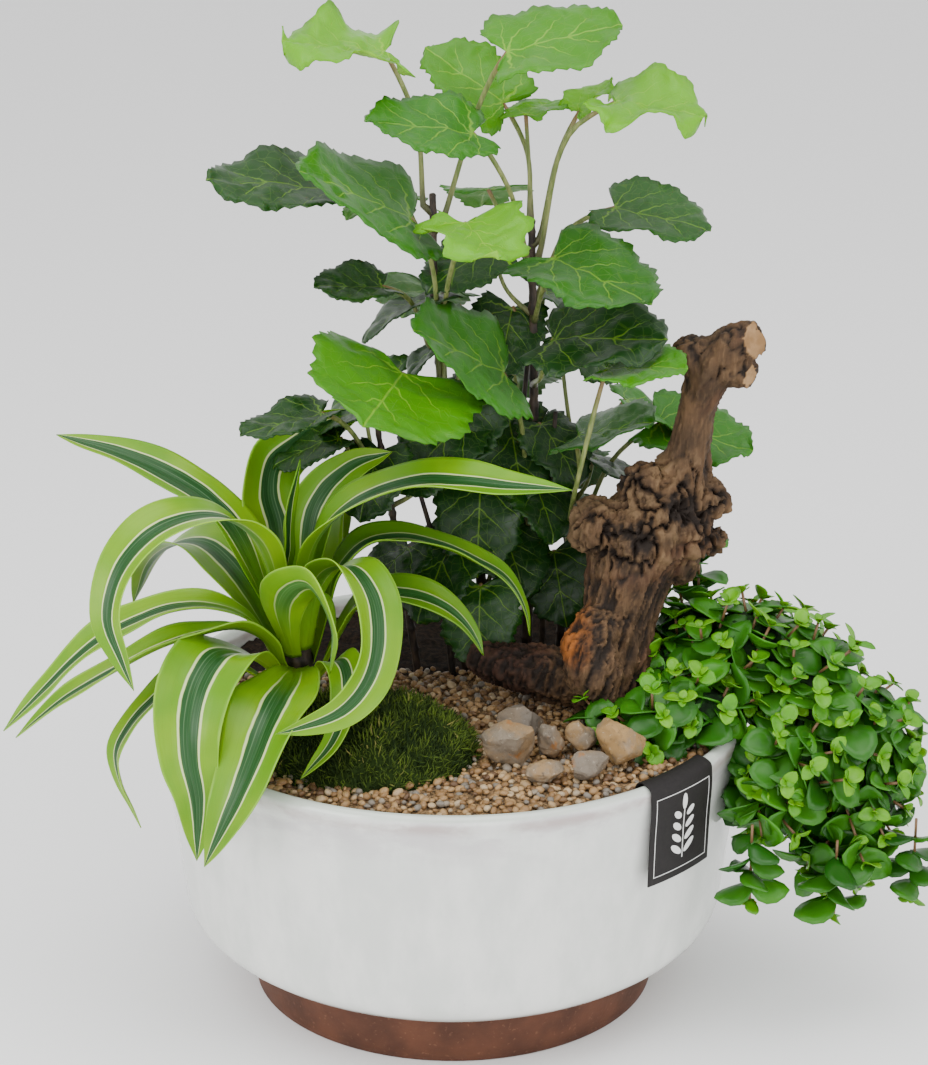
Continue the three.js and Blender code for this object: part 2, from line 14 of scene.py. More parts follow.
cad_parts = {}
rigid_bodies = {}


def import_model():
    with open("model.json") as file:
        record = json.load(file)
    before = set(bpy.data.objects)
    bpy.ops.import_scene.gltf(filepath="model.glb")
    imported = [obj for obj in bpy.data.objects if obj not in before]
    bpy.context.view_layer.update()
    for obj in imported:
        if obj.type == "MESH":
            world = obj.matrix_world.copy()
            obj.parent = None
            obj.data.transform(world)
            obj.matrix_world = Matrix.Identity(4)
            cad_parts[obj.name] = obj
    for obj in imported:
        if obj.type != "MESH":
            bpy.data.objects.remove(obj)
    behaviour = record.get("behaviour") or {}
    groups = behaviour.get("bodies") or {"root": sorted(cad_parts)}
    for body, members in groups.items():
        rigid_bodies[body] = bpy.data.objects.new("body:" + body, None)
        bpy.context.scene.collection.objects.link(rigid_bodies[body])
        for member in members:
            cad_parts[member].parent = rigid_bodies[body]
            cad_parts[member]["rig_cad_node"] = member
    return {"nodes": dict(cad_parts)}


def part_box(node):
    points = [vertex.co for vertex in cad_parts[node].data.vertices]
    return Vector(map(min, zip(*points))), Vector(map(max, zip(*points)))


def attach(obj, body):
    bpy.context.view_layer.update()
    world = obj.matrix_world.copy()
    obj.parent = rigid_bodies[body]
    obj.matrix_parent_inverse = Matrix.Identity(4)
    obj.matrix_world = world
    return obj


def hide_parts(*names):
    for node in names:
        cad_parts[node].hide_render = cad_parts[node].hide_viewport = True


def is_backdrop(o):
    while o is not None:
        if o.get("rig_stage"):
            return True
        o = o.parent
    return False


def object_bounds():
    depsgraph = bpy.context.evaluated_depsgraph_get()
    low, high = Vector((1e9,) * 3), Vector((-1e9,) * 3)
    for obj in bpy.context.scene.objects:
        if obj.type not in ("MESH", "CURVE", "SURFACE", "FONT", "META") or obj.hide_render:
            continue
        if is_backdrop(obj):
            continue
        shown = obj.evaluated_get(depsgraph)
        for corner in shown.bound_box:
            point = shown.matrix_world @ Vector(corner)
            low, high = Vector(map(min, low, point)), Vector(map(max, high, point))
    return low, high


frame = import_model()
bpy.context.view_layer.update()
solid_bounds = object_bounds()
MM = 0.001
print(
    "the solids reach from",
    [round(c, 3) for c in solid_bounds[0]],
    "to",
    [round(c, 3) for c in solid_bounds[1]],
)

# %% [markdown]
# The camera stands in front of the bowl and looks a little down on it, as a person at a table does. The
# lens is long, because a long lens keeps the bowl's rim a calm ellipse. It is placed first, so that every
# later piece can be judged through it.

# %% Set up the camera
bpy.ops.object.select_all(action="DESELECT")
camera_down = math.radians(20.2)
bpy.ops.object.camera_add(location=(0.0055, -1.4, 0.756), rotation=(math.pi / 2 - camera_down, 0, 0))
camera = bpy.context.object
camera.name = "camera"
camera.data.sensor_width = 36
camera.data.lens = 101.07
bpy.context.scene.camera = camera
print("camera with a", round(camera.data.lens), "mm lens")

# %% [markdown]
# A studio for plants is pale and soft: a big light above, a broad one from the left front, a weaker fill
# from the right, and a bright surround so that glossy leaves have something white to mirror.

# %% Build the studio
def soft_light(name, place, target, size, power):
    """A square light at a place, aimed at a target."""
    bpy.ops.object.light_add(type="AREA", location=place)
    light = bpy.context.object
    light.name = name
    light.data.size = size
    light.data.energy = power
    light.rotation_euler = (Vector(target) - Vector(place)).to_track_quat("-Z", "Y").to_euler()
    return light


bpy.ops.object.select_all(action="DESELECT")
MIDDLE = (0, 0, 0.2)
soft_light("top_light", (0.1, -0.3, 1.7), MIDDLE, 1.3, 17)
soft_light("left_light", (-1.3, -1.1, 0.95), MIDDLE, 1.0, 19)
soft_light("right_light", (1.4, -0.9, 0.8), MIDDLE, 0.9, 9)
soft_light("front_light", (0.2, -1.9, 0.5), (0, 0, 0.12), 1.0, 10)
surround = bpy.data.worlds.new("surround")
surround.use_nodes = True
surround.node_tree.nodes["Background"].inputs["Color"].default_value = (1, 1, 1, 1)
surround.node_tree.nodes["Background"].inputs["Strength"].default_value = 1.25
bpy.context.scene.world = surround

bpy.ops.mesh.primitive_plane_add(size=40, location=(0, 0, 0))
floor = bpy.context.object
floor.name = "floor"
floor_paint = bpy.data.materials.new("floor_paint")
floor_paint.use_nodes = True
floor_paint.node_tree.nodes["Principled BSDF"].inputs["Base Color"].default_value = (0.9, 0.9, 0.9, 1)
floor_paint.node_tree.nodes["Principled BSDF"].inputs["Roughness"].default_value = 0.9
floor.data.materials.append(floor_paint)
floor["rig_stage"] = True
print("four lights and a floor")

# %% [markdown]
# Blender's operators act on whatever is selected, so each step starts by selecting one thing and nothing
# else. These helpers do that, copy a solid so that it can be refined, and hand a finished piece to the
# frame.

# %% Helpers for picking, copying and finishing
def only(piece):
    """Leaves one piece selected and active."""
    if bpy.context.mode != "OBJECT":
        bpy.ops.object.mode_set(mode="OBJECT")
    bpy.ops.object.select_all(action="DESELECT")
    piece.select_set(True)
    bpy.context.view_layer.objects.active = piece
    return piece


def copied(source, name):
    """Another piece with its own mesh."""
    piece = bpy.data.objects.new(name, source.data.copy())
    bpy.context.scene.collection.objects.link(piece)
    return only(piece)


def copy_of_solid(node, name):
    """A copy of a solid with its loose triangles welded, ready to be refined."""
    piece = copied(frame["nodes"][node], name)
    bpy.ops.object.mode_set(mode="EDIT")
    bpy.ops.mesh.select_all(action="SELECT")
    bpy.ops.mesh.remove_doubles(threshold=0.01 * MM)
    bpy.ops.mesh.customdata_custom_splitnormals_clear()
    bpy.ops.object.mode_set(mode="OBJECT")
    piece.data.materials.clear()
    return piece


def points_of(mesh):
    """The mesh's points as rows of x, y, z."""
    flat = np.empty(len(mesh.vertices) * 3)
    mesh.vertices.foreach_get("co", flat)
    return flat.reshape(-1, 3)


def move_points(mesh, points):
    """Puts the mesh's points in new places."""
    mesh.vertices.foreach_set("co", np.asarray(points, float).ravel())
    mesh.update()


def normals_of(mesh):
    """The mesh's point normals as rows of x, y, z."""
    flat = np.empty(len(mesh.vertices) * 3)
    mesh.vertex_normals.foreach_get("vector", flat)
    return flat.reshape(-1, 3)


def apply_modifier(piece, kind, **settings):
    """Adds a modifier, sets it and applies it."""
    only(piece)
    modifier = piece.modifiers.new(kind.lower(), kind)
    for key, value in settings.items():
        setattr(modifier, key, value)
    bpy.ops.object.modifier_apply(modifier=modifier.name)


def remeshed(piece, cell):
    """Rebuilds a piece's skin from small even squares."""
    only(piece)
    piece.data.remesh_voxel_size = cell
    piece.data.use_remesh_fix_poles = False
    bpy.ops.object.voxel_remesh()


def smooth_faces(piece, degrees=40):
    """Shades a piece smooth except across sharp edges."""
    only(piece)
    bpy.ops.object.shade_smooth_by_angle(angle=math.radians(degrees))


def hand_over(piece, nodes):
    """The piece stands for these solids, which are hidden, and is attached to the root body."""
    if nodes:
        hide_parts(*nodes)
    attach(piece, "root")
    return piece


def mark_points(piece, name, values):
    """Stores one number per point, for a material to read."""
    layer = piece.data.attributes.new(name, "FLOAT", "POINT")
    layer.data.foreach_set("value", np.asarray(values, np.float32))


def triangles(piece):
    """How many triangles the piece has."""
    return sum(len(face.vertices) - 2 for face in piece.data.polygons)


def roughness_of(points, scale, seed=0, octaves=3):
    """Smooth random values between about -1 and 1 at each point."""
    shift = Vector((seed * 7.3, seed * 3.1, seed * 5.7))
    return np.array([noise.fractal(Vector(p) * scale + shift, 1.0, 2.0, octaves) for p in points])


def unit(rows):
    """Rows scaled to length one."""
    rows = np.asarray(rows, float)
    return rows / np.maximum(np.linalg.norm(rows, axis=-1, keepdims=True), 1e-9)


def spaced(path):
    """How far along a path each of its points lies, from 0 to 1."""
    where = np.concatenate([[0], np.cumsum(np.linalg.norm(np.diff(path, axis=0), axis=1))])
    return where / where[-1]


print("helpers ready")

# %% [markdown]
# A finish is a Principled shader fed by patterns. To keep each one short, a small drawing board makes nodes
# by name and joins whatever it is given: a number or a colour is typed into the socket, and another node's
# output is wired in.

# %% Helpers for finishes
class Finish:
    """A material and its nodes, built one call at a time."""

    def __init__(self, name, roughness=0.5, specular=0.5, coat=0.0, subsurface=0.0):
        self.material = bpy.data.materials.new(name)
        self.material.use_nodes = True
        self.tree = self.material.node_tree
        self.shader = self.tree.nodes["Principled BSDF"]
        self.shader.inputs["Roughness"].default_value = roughness
        self.shader.inputs["Specular IOR Level"].default_value = specular
        self.shader.inputs["Coat Weight"].default_value = coat
        self.shader.inputs["Coat Roughness"].default_value = 0.12
        self.shader.inputs["Subsurface Weight"].default_value = subsurface
        self.shader.inputs["Subsurface Scale"].default_value = 0.002

    def join(self, socket, value):
        """Wires an output into a socket, or types in a value."""
        if isinstance(value, bpy.types.NodeSocket):
            self.tree.links.new(value, socket)
        elif isinstance(value, (tuple, list)) and len(value) == 3 and socket.type == "RGBA":
            socket.default_value = (*value, 1)
        else:
            socket.default_value = value

    def place(self, kind="Object"):
        """Where on the piece a pattern is: Object or UV."""
        return self.tree.nodes.new("ShaderNodeTexCoord").outputs[kind]

    def value(self, name):
        """The number stored at each point of the piece."""
        node = self.tree.nodes.new("ShaderNodeAttribute")
        node.attribute_name = name
        return node.outputs["Fac"]

    def stretched(self, place, scale):
        """The same place with its axes stretched."""
        node = self.tree.nodes.new("ShaderNodeMapping")
        node.vector_type = "POINT"
        self.join(node.inputs["Vector"], place)
        node.inputs["Scale"].default_value = scale
        return node.outputs["Vector"]

    def noise(self, place, scale, detail=3.0, rough=0.5):
        """Cloudy values from 0 to 1."""
        node = self.tree.nodes.new("ShaderNodeTexNoise")
        self.join(node.inputs["Vector"], place)
        node.inputs["Scale"].default_value = scale
        node.inputs["Detail"].default_value = detail
        node.inputs["Roughness"].default_value = rough
        return node.outputs["Fac"]

    def cells(self, place, scale, feature="F1", output="Distance"):
        """The distance to scattered cell centres, or each cell's own colour."""
        node = self.tree.nodes.new("ShaderNodeTexVoronoi")
        node.feature = feature
        self.join(node.inputs["Vector"], place)
        node.inputs["Scale"].default_value = scale
        return node.outputs[output]

    def sums(self, operation, a, b=0.0, c=0.0):
        """One step of arithmetic."""
        node = self.tree.nodes.new("ShaderNodeMath")
        node.operation = operation
        for socket, given in zip(node.inputs, (a, b, c)):
            self.join(socket, given)
        return node.outputs[0]

    def between(self, given, low, high, out_low=0.0, out_high=1.0):
        """A value carried smoothly from one range to another and clamped."""
        node = self.tree.nodes.new("ShaderNodeMapRange")
        node.interpolation_type = "SMOOTHSTEP"
        for socket, number in zip(node.inputs, (given, low, high, out_low, out_high)):
            self.join(socket, number)
        return node.outputs[0]

    def mixed(self, amount, a, b, blend="MIX"):
        """One colour laid over another."""
        node = self.tree.nodes.new("ShaderNodeMix")
        node.data_type = "RGBA"
        node.blend_type = blend
        self.join(node.inputs[0], amount)
        self.join(node.inputs[6], a)
        self.join(node.inputs[7], b)
        return node.outputs[2]

    def parts(self, place):
        """The three numbers of a place."""
        node = self.tree.nodes.new("ShaderNodeSeparateXYZ")
        self.join(node.inputs[0], place)
        return node.outputs

    def paint(self, colour, roughness=None, bump=None, strength=0.3, depth=0.0005):
        """Sends a colour, a roughness and a fine relief to the shader."""
        self.join(self.shader.inputs["Base Color"], colour)
        if roughness is not None:
            self.join(self.shader.inputs["Roughness"], roughness)
        if bump is not None:
            node = self.tree.nodes.new("ShaderNodeBump")
            node.inputs["Strength"].default_value = strength
            node.inputs["Distance"].default_value = depth
            self.join(node.inputs["Height"], bump)
            self.join(self.shader.inputs["Normal"], node.outputs[0])
        return self.material


print("finish helper ready")

# %% [markdown]
# ## The bowl
# A thrown bowl is a ring of clay drawn up through a profile. It could be a spun outline or a lathe, but
# drawing up a ring, step by step, shows how each part of the wall comes from the one below: a bare foot, an
# under-slope, a soft shoulder, a nearly straight wall and a rolled lip. The wall is then pushed in and out
# a hair, as a hand leaves it.

# %% Draw up the bowl
bowl_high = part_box("bowl")[1]
RIM = bowl_high.x
HEIGHT = bowl_high.z
SOIL_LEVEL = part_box("potting_soil")[1].z
BOWL_PROFILE = [
    (76, 0), (78, 2), (90, 2), (92, 0), (102.3, 0), (103.3, 0.7), (104.2, 5), (107.9, 24.6),
    (108.8, 26.4), (110.9, 26.7), (112.6, 27.9), (119, 31.4), (126.5, 35.8), (131.6, 39.8), (135.2, 43.8),
    (137.4, 47.6), (138.5, 52), (139.5, 60), (142, 82), (144.3, 102), (146.6, 124), (148.2, 140),
    (149.2, 145), (149.9, 148.5), (150, 151), (149.3, 153.2), (147.8, 154.6), (146, 155), (144.3, 154.3),
    (143, 152.6), (142.2, 150), (141.9, 146), (139, 126), (135, 92), (130, 55), (122, 45), (103.5, 30),
    (85.5, 12.5),
]


def drawn_up(name, profile, sides):
    """Raises a ring through a profile of radii and heights, in mm, and closes both ends."""
    bpy.ops.object.select_all(action="DESELECT")
    radius, height = profile[0]
    bpy.ops.mesh.primitive_circle_add(vertices=sides, radius=radius * MM, location=(0, 0, height * MM))
    piece = bpy.context.object
    piece.name = name
    bpy.ops.object.mode_set(mode="EDIT")
    bpy.ops.mesh.select_all(action="SELECT")
    bpy.ops.mesh.edge_face_add()
    bpy.ops.mesh.poke()
    bpy.ops.mesh.select_all(action="DESELECT")
    bpy.ops.mesh.select_mode(type="EDGE")
    bpy.ops.mesh.select_non_manifold(extend=False)
    for (before, low), (after, high) in zip(profile, profile[1:]):
        bpy.ops.mesh.extrude_edges_move(TRANSFORM_OT_translate={"value": (0, 0, (high - low) * MM)})
        grow = after / before
        bpy.ops.transform.resize(value=(grow, grow, 1), center_override=(0, 0, high * MM))
    bpy.ops.mesh.edge_face_add()
    bpy.ops.mesh.poke()
    bpy.ops.mesh.select_all(action="SELECT")
    bpy.ops.mesh.normals_make_consistent(inside=False)
    bpy.ops.mesh.select_mode(type="VERT")
    bpy.ops.object.mode_set(mode="OBJECT")
    bpy.ops.object.transform_apply(location=True, rotation=True, scale=True)
    return piece


bowl = drawn_up("glazed_bowl", BOWL_PROFILE, 128)
points = points_of(bowl.data)
sway = roughness_of(points, 14, seed=2) * 0.35 * MM * np.clip(points[:, 2] / 0.03, 0, 1)
round_by = 1 + sway / np.maximum(np.hypot(points[:, 0], points[:, 1]), 0.02)
move_points(bowl.data, points * np.column_stack([round_by, round_by, np.ones(len(points))]))
smooth_faces(bowl, 50)
print("bowl of", triangles(bowl), "triangles, radius", round(RIM / MM), "mm")

# %% [markdown]
# The glaze is a milky greenish white, glossy, with lavender-grey clouds near the lip, faint clouds down the
# wall and pin-sized specks. The foot has no glaze and shows brown, speckled stoneware.

# %% Glaze and bare clay
glaze = Finish("milk_glaze", roughness=0.16, specular=0.5, coat=0.35)
here = glaze.place()
height = glaze.parts(here)[2]
runs = glaze.noise(glaze.stretched(here, (42, 42, 20)), 1.0, 5, 0.6)
clouds = glaze.noise(glaze.stretched(here, (26, 26, 60)), 1.0, 5, 0.6)
near_lip = glaze.between(height, 0.118, 0.150, 0.0, 1.0)
milk = glaze.mixed(glaze.between(runs, 0.35, 0.7), (0.60, 0.62, 0.585), (0.72, 0.725, 0.69))
mauve = glaze.sums("MULTIPLY", near_lip, glaze.between(clouds, 0.42, 0.62))
milk = glaze.mixed(glaze.sums("MULTIPLY", mauve, 0.6), milk, (0.44, 0.40, 0.42))
specks = glaze.between(glaze.cells(here, 260), 0.05, 0.09, 1.0, 0.0)
sparse = glaze.between(glaze.noise(here, 70, 2), 0.6, 0.72)
milk = glaze.mixed(
    glaze.sums("MULTIPLY", glaze.sums("MULTIPLY", specks, sparse), 0.6), milk, (0.36, 0.33, 0.29)
)
thin_edge = glaze.between(height, 0.0262, 0.0300, 1.0, 0.0)
milk = glaze.mixed(glaze.sums("MULTIPLY", thin_edge, 0.75), milk, (0.36, 0.24, 0.17))
lip = glaze.between(height, 0.1515, 0.1535, 0.0, 0.7)
milk = glaze.mixed(lip, milk, (0.52, 0.58, 0.50))
below_lip = glaze.sums(
    "MULTIPLY", glaze.between(height, 0.1440, 0.1490), glaze.between(height, 0.1500, 0.1525, 1.0, 0.0)
)
stain = glaze.sums("MULTIPLY", below_lip, glaze.between(clouds, 0.36, 0.60, 0.15, 0.8))
milk = glaze.mixed(stain, milk, (0.40, 0.33, 0.31))
glaze.paint(milk, glaze.between(clouds, 0.3, 0.8, 0.12, 0.26), bump=glaze.noise(here, 160, 2), strength=0.12)

clay = Finish("bare_stoneware", roughness=0.72, specular=0.35)
here = clay.place()
grain = clay.noise(here, 420, 3, 0.6)
brown = clay.mixed(
    clay.between(clay.noise(here, 40, 4), 0.3, 0.7), (0.050, 0.016, 0.007), (0.100, 0.034, 0.015)
)
brown = clay.mixed(clay.between(grain, 0.6, 0.75, 0.0, 0.6), brown, (0.20, 0.09, 0.05))
clay.paint(brown, bump=grain, strength=0.35)

bowl.data.materials.append(glaze.material)
bowl.data.materials.append(clay.material)
for face in bowl.data.polygons:
    face.material_index = 1 if face.center.z < 26.5 * MM and math.hypot(*face.center.xy) < 110.5 * MM else 0
hand_over(bowl, ["bowl"])
print("glazed above", 26.5, "mm")

# %% [markdown]
# ## The soil
# Potting soil is dark, damp and crumbly, and most of it is hidden. The solid is copied, rebuilt from even
# squares so that it can be rough all over, and then its top is broken up with layered noise.

# %% Break up the soil
soil = copy_of_solid("potting_soil", "crumbly_soil")
remeshed(soil, 3.6 * MM)
points = points_of(soil.data)
on_top = np.clip((points[:, 2] - SOIL_LEVEL + 3 * MM) / (3 * MM), 0, 1)
crumbs = roughness_of(points, 120, seed=4) * 1.5 * MM + np.abs(roughness_of(points, 300, seed=9)) * 1.2 * MM
points[:, 2] += on_top * (crumbs - 0.4 * MM)
move_points(soil.data, points)
smooth_faces(soil, 60)

damp = Finish("damp_soil", roughness=0.95, specular=0.1)
here = damp.place()
crumb = damp.noise(here, 380, 5, 0.7)
dark = damp.mixed(damp.between(crumb, 0.35, 0.7), (0.004, 0.003, 0.002), (0.028, 0.017, 0.010))
bark = damp.between(damp.cells(here, 210), 0.0, 0.22, 1.0, 0.0)
dark = damp.mixed(
    damp.sums("MULTIPLY", bark, damp.between(damp.noise(here, 60, 2), 0.5, 0.65)),
    dark,
    (0.070, 0.042, 0.022),
)
soil.data.materials.append(damp.paint(dark, bump=crumb, strength=0.8, depth=0.001))
hand_over(soil, ["potting_soil"])
print("soil of", triangles(soil), "triangles")

# %% [markdown]
# ## Scattering
# Pebbles, moss blades and creeper leaves repeat hundreds or thousands of times. Each is modelled once with
# few faces, and this helper sets many turned and sized copies down in one mesh, with a number per copy that
# the finish reads for colour.

# %% Helper for setting down many copies
def turned_frames(upward, spin):
    """Three axes for each copy: the third points along `upward`, and the copy is spun about it."""
    upward = upward / np.linalg.norm(upward, axis=1, keepdims=True)
    helper = np.where(np.abs(upward[:, 2:3]) > 0.9, [[1.0, 0.0, 0.0]], [[0.0, 0.0, 1.0]])
    first = np.cross(helper, upward)
    first /= np.linalg.norm(first, axis=1, keepdims=True)
    second = np.cross(upward, first)
    cos, sin = np.cos(spin)[:, None], np.sin(spin)[:, None]
    return np.stack([first * cos + second * sin, second * cos - first * sin, upward], axis=1)


def set_down(name, model, places, frames, sizes, tints):
    """One mesh with a copy of the model at each place, turned by its frame and scaled by its sizes."""
    shape = points_of(model.data)
    faces = [list(face.vertices) for face in model.data.polygons]
    count = len(shape)
    spots = np.einsum("pk,nk,nkd->npd", shape, sizes, frames) + places[:, None, :]
    all_faces = [[corner + copy * count for corner in face] for copy in range(len(places)) for face in faces]
    mesh = bpy.data.meshes.new(name)
    mesh.from_pydata(spots.reshape(-1, 3), [], all_faces)
    piece = bpy.data.objects.new(name, mesh)
    bpy.context.scene.collection.objects.link(piece)
    mark_points(piece, "tint", np.repeat(tints, count))
    only(piece)
    bpy.ops.object.shade_smooth()
    return piece


def even_sizes(lengths, spread=((1, 1), (1, 1), (1, 1)), chance=None):
    """Three sizes per copy, each its length times a random share from that axis's spread."""
    chance = chance or np.random.default_rng(1)
    shares = np.stack([chance.uniform(low, high, len(lengths)) for low, high in spread], axis=1)
    return np.asarray(lengths)[:, None] * shares


print("scatter helper ready")

# %% [markdown]
# ## The moss cushion
# Cushion moss is a lumpy dome of tiny upright shoots, almost black between them, with a few dry straws. The
# dome is the solid with lumps pressed into it. A shoot is a thin three-sided blade drawn up to a point, and
# thousands of copies stand on the dome along its normals, paler where the lumps are high and darker in the
# hollows, as painted shade.

# %% Swell the moss dome
moss = copy_of_solid("moss_cushion", "moss_dome")
moss_low, moss_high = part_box("moss_cushion")
remeshed(moss, 1.8 * MM)
points, normals = points_of(moss.data), normals_of(moss.data)
raised = np.clip((points[:, 2] - moss_low.z) / (5 * MM), 0, 1)
lumps = roughness_of(points, 62, seed=12)
move_points(moss.data, points + normals * (raised * (lumps * 4.2 - 2.2) * MM)[:, None])
smooth_faces(moss, 60)
print("moss dome of", triangles(moss), "triangles")

# %% Model one shoot of moss
bpy.ops.object.select_all(action="DESELECT")
bpy.ops.mesh.primitive_circle_add(vertices=3, radius=0.075, location=(0, 0, 0))
shoot = bpy.context.object
shoot.name = "moss_shoot"
bpy.ops.object.mode_set(mode="EDIT")
bpy.ops.mesh.select_all(action="SELECT")
bpy.ops.mesh.extrude_edges_move(TRANSFORM_OT_translate={"value": (0.07, 0, 0.6)})
bpy.ops.transform.resize(value=(0.7, 0.7, 1), center_override=(0.07, 0, 0.6))
bpy.ops.mesh.extrude_edges_move(TRANSFORM_OT_translate={"value": (0.18, 0, 0.4)})
bpy.ops.mesh.merge(type="CENTER")
bpy.ops.object.mode_set(mode="OBJECT")
print("a moss shoot of", triangles(shoot), "triangles")

# %% Plant the moss shoots
chance = np.random.default_rng(21)
points, normals = points_of(moss.data), normals_of(moss.data)
open_side = np.flatnonzero((normals[:, 2] > -0.05) & (points[:, 2] > moss_low.z + 0.5 * MM))
spots = chance.choice(open_side, min(5200, len(open_side)), replace=False)
lean = normals[spots] * 0.8 + chance.normal(0, 0.42, (len(spots), 3)) + [0, 0, 0.45]
lengths = chance.uniform(3.0, 6.4, len(spots)) * MM
tips = points[spots] + lean / np.linalg.norm(lean, axis=1, keepdims=True) * lengths[:, None]
inside = np.hypot(tips[:, 0], tips[:, 1]) < RIM - 9.3 * MM
spots, lean, lengths = spots[inside], lean[inside], lengths[inside]
shoots = set_down(
    "moss_shoots",
    shoot,
    points[spots] - normals[spots] * 0.4 * MM,
    turned_frames(lean, chance.uniform(0, 6.28, len(spots))),
    even_sizes(lengths, ((0.8, 1.3), (0.8, 1.3), (1, 1)), chance),
    # the tint rises with the lumps, so the shoots in the hollows get painted shade
    np.clip(chance.beta(1.6, 3.2, len(spots)) + 0.45 * roughness_of(points[spots], 62, seed=12), 0, 1),
)
bpy.data.objects.remove(shoot)

moss_green = Finish("moss_green", roughness=0.85, specular=0.25)
tint = moss_green.value("tint")
# a low tint gives dark green, which includes the painted shade of the hollows
green = moss_green.mixed(moss_green.between(tint, 0.0, 0.75), (0.010, 0.026, 0.003), (0.085, 0.135, 0.012))
green = moss_green.mixed(moss_green.between(tint, 0.8, 0.95), green, (0.24, 0.22, 0.06))
shoots.data.materials.append(moss_green.paint(green))
under_moss = Finish("moss_shadow", roughness=0.95, specular=0.1)
here = under_moss.place()
deep = under_moss.mixed(under_moss.noise(here, 300, 4), (0.004, 0.010, 0.002), (0.028, 0.050, 0.010))
moss.data.materials.append(
    under_moss.paint(deep, bump=under_moss.noise(here, 500, 3), strength=0.9, depth=0.001)
)
hand_over(moss, ["moss_cushion"])
hand_over(shoots, [])
print(len(spots), "shoots of moss,", triangles(shoots), "triangles")

# %% [markdown]
# ## Gravel
# The gravel is a layer of rounded grains about two to five millimetres across, ochre, orange, cream and
# grey. A bed made from the solid closes the gaps. A grain starts as a ball of eighty faces, is pushed out
# of round and flattened, and is set down on an even grid whose points are nudged.

# %% Model three grains
def grain_model(name, seed):
    """A worn pebble about two units across."""
    bpy.ops.object.select_all(action="DESELECT")
    bpy.ops.mesh.primitive_ico_sphere_add(subdivisions=2, radius=1, location=(0, 0, 0))
    grain = bpy.context.object
    grain.name = name
    bpy.ops.object.mode_set(mode="EDIT")
    bpy.ops.mesh.select_all(action="SELECT")
    bpy.ops.transform.resize(value=(1.12, 0.88, 0.72), center_override=(0, 0, 0))
    bpy.ops.object.mode_set(mode="OBJECT")
    points = points_of(grain.data)
    move_points(grain.data, points * (1 + 0.24 * roughness_of(points, 1.1, seed))[:, None])
    return grain


grains = [grain_model(f"grain_{number}", number * 5 + 1) for number in range(3)]
print("a grain has", triangles(grains[0]), "triangles")

# %% Lay the gravel
gravel_low, gravel_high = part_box("gravel_bed")
bed = copy_of_solid("gravel_bed", "gravel_sand")
remeshed(bed, 2.2 * MM)
points = points_of(bed.data)
upper = np.clip((points[:, 2] - gravel_low.z) / (gravel_high.z - gravel_low.z), 0, 1)
points[:, 2] -= upper * (1.1 + 0.9 * roughness_of(points, 160, seed=5)) * MM
move_points(bed.data, points)
smooth_faces(bed, 60)


def gravel_spots(step, edge, seed):
    """Points of a nudged grid that lie on the gravel and clear of the moss and the rim."""
    chance = np.random.default_rng(seed)
    reach = RIM - edge
    columns, rows = np.meshgrid(np.arange(-reach, reach, step), np.arange(-reach, gravel_high.y, step * 0.87))
    columns[::2] += step / 2
    spots = np.stack([columns.ravel(), rows.ravel()], axis=1) + chance.normal(
        0, step * 0.16, (columns.size, 2)
    )
    moss_middle = (np.array(moss_low.xy) + np.array(moss_high.xy)) / 2
    moss_half = (np.array(moss_high.xy) - np.array(moss_low.xy)) / 2 - 3 * MM
    keep = np.hypot(spots[:, 0], spots[:, 1]) < reach
    keep &= (((spots - moss_middle) / moss_half) ** 2).sum(axis=1) > 1
    return spots[keep], chance


for number, grain in enumerate(grains):
    spots, chance = gravel_spots(6.6 * MM, 11.6 * MM, 30 + number)
    spots = spots + [number * 2.7 * MM, number * 1.5 * MM]
    spots = spots[np.hypot(spots[:, 0], spots[:, 1]) < RIM - 11.2 * MM]
    heights = gravel_high.z - 0.6 * MM + chance.uniform(-0.8, 1.5, len(spots)) * MM
    layer = set_down(
        f"gravel_{number + 1}",
        grain,
        np.column_stack([spots, heights]),
        turned_frames(
            chance.normal(0, 0.35, (len(spots), 3)) + [0, 0, 1], chance.uniform(0, 6.28, len(spots))
        ),
        even_sizes(chance.uniform(1.1, 2.5, len(spots)) * MM, ((0.8, 1.2), (0.8, 1.2), (0.8, 1.1)), chance),
        chance.uniform(0, 1, len(spots)),
    )
    hand_over(layer, [])
    print(layer.name, len(spots), "grains,", triangles(layer), "triangles")

# %% Colour the gravel
quartz = Finish("gravel_grains", roughness=0.55, specular=0.5)
here = quartz.place()
tint = quartz.value("tint")
tan = quartz.mixed(quartz.between(tint, 0.0, 0.3), (0.085, 0.040, 0.014), (0.23, 0.125, 0.045))
tan = quartz.mixed(quartz.between(tint, 0.35, 0.6), tan, (0.33, 0.20, 0.085))
tan = quartz.mixed(quartz.between(tint, 0.70, 0.84), tan, (0.42, 0.31, 0.18))
tan = quartz.mixed(quartz.between(tint, 0.86, 0.93), tan, (0.17, 0.145, 0.115))
mottle = quartz.noise(here, 900, 3, 0.6)
tan = quartz.mixed(quartz.between(mottle, 0.5, 0.8, 0.0, 0.5), tan, (0.13, 0.075, 0.035))
quartz.paint(tan, bump=mottle, strength=0.3, depth=0.0003)
sand = Finish("gravel_sand", roughness=0.9, specular=0.3)
here = sand.place()
speck = sand.noise(here, 650, 3, 0.7)
sand.paint(
    sand.mixed(sand.between(speck, 0.35, 0.65), (0.045, 0.026, 0.012), (0.26, 0.16, 0.075)),
    bump=speck,
    strength=0.9,
)
for piece in [o for o in bpy.data.objects if o.name.startswith("gravel_") and o.type == "MESH"]:
    if not piece.data.materials and "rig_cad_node" not in piece:
        piece.data.materials.append(sand.material if piece is bed else quartz.material)
for grain in grains:
    bpy.data.objects.remove(grain)
hand_over(bed, ["gravel_bed"])
print("gravel coloured")

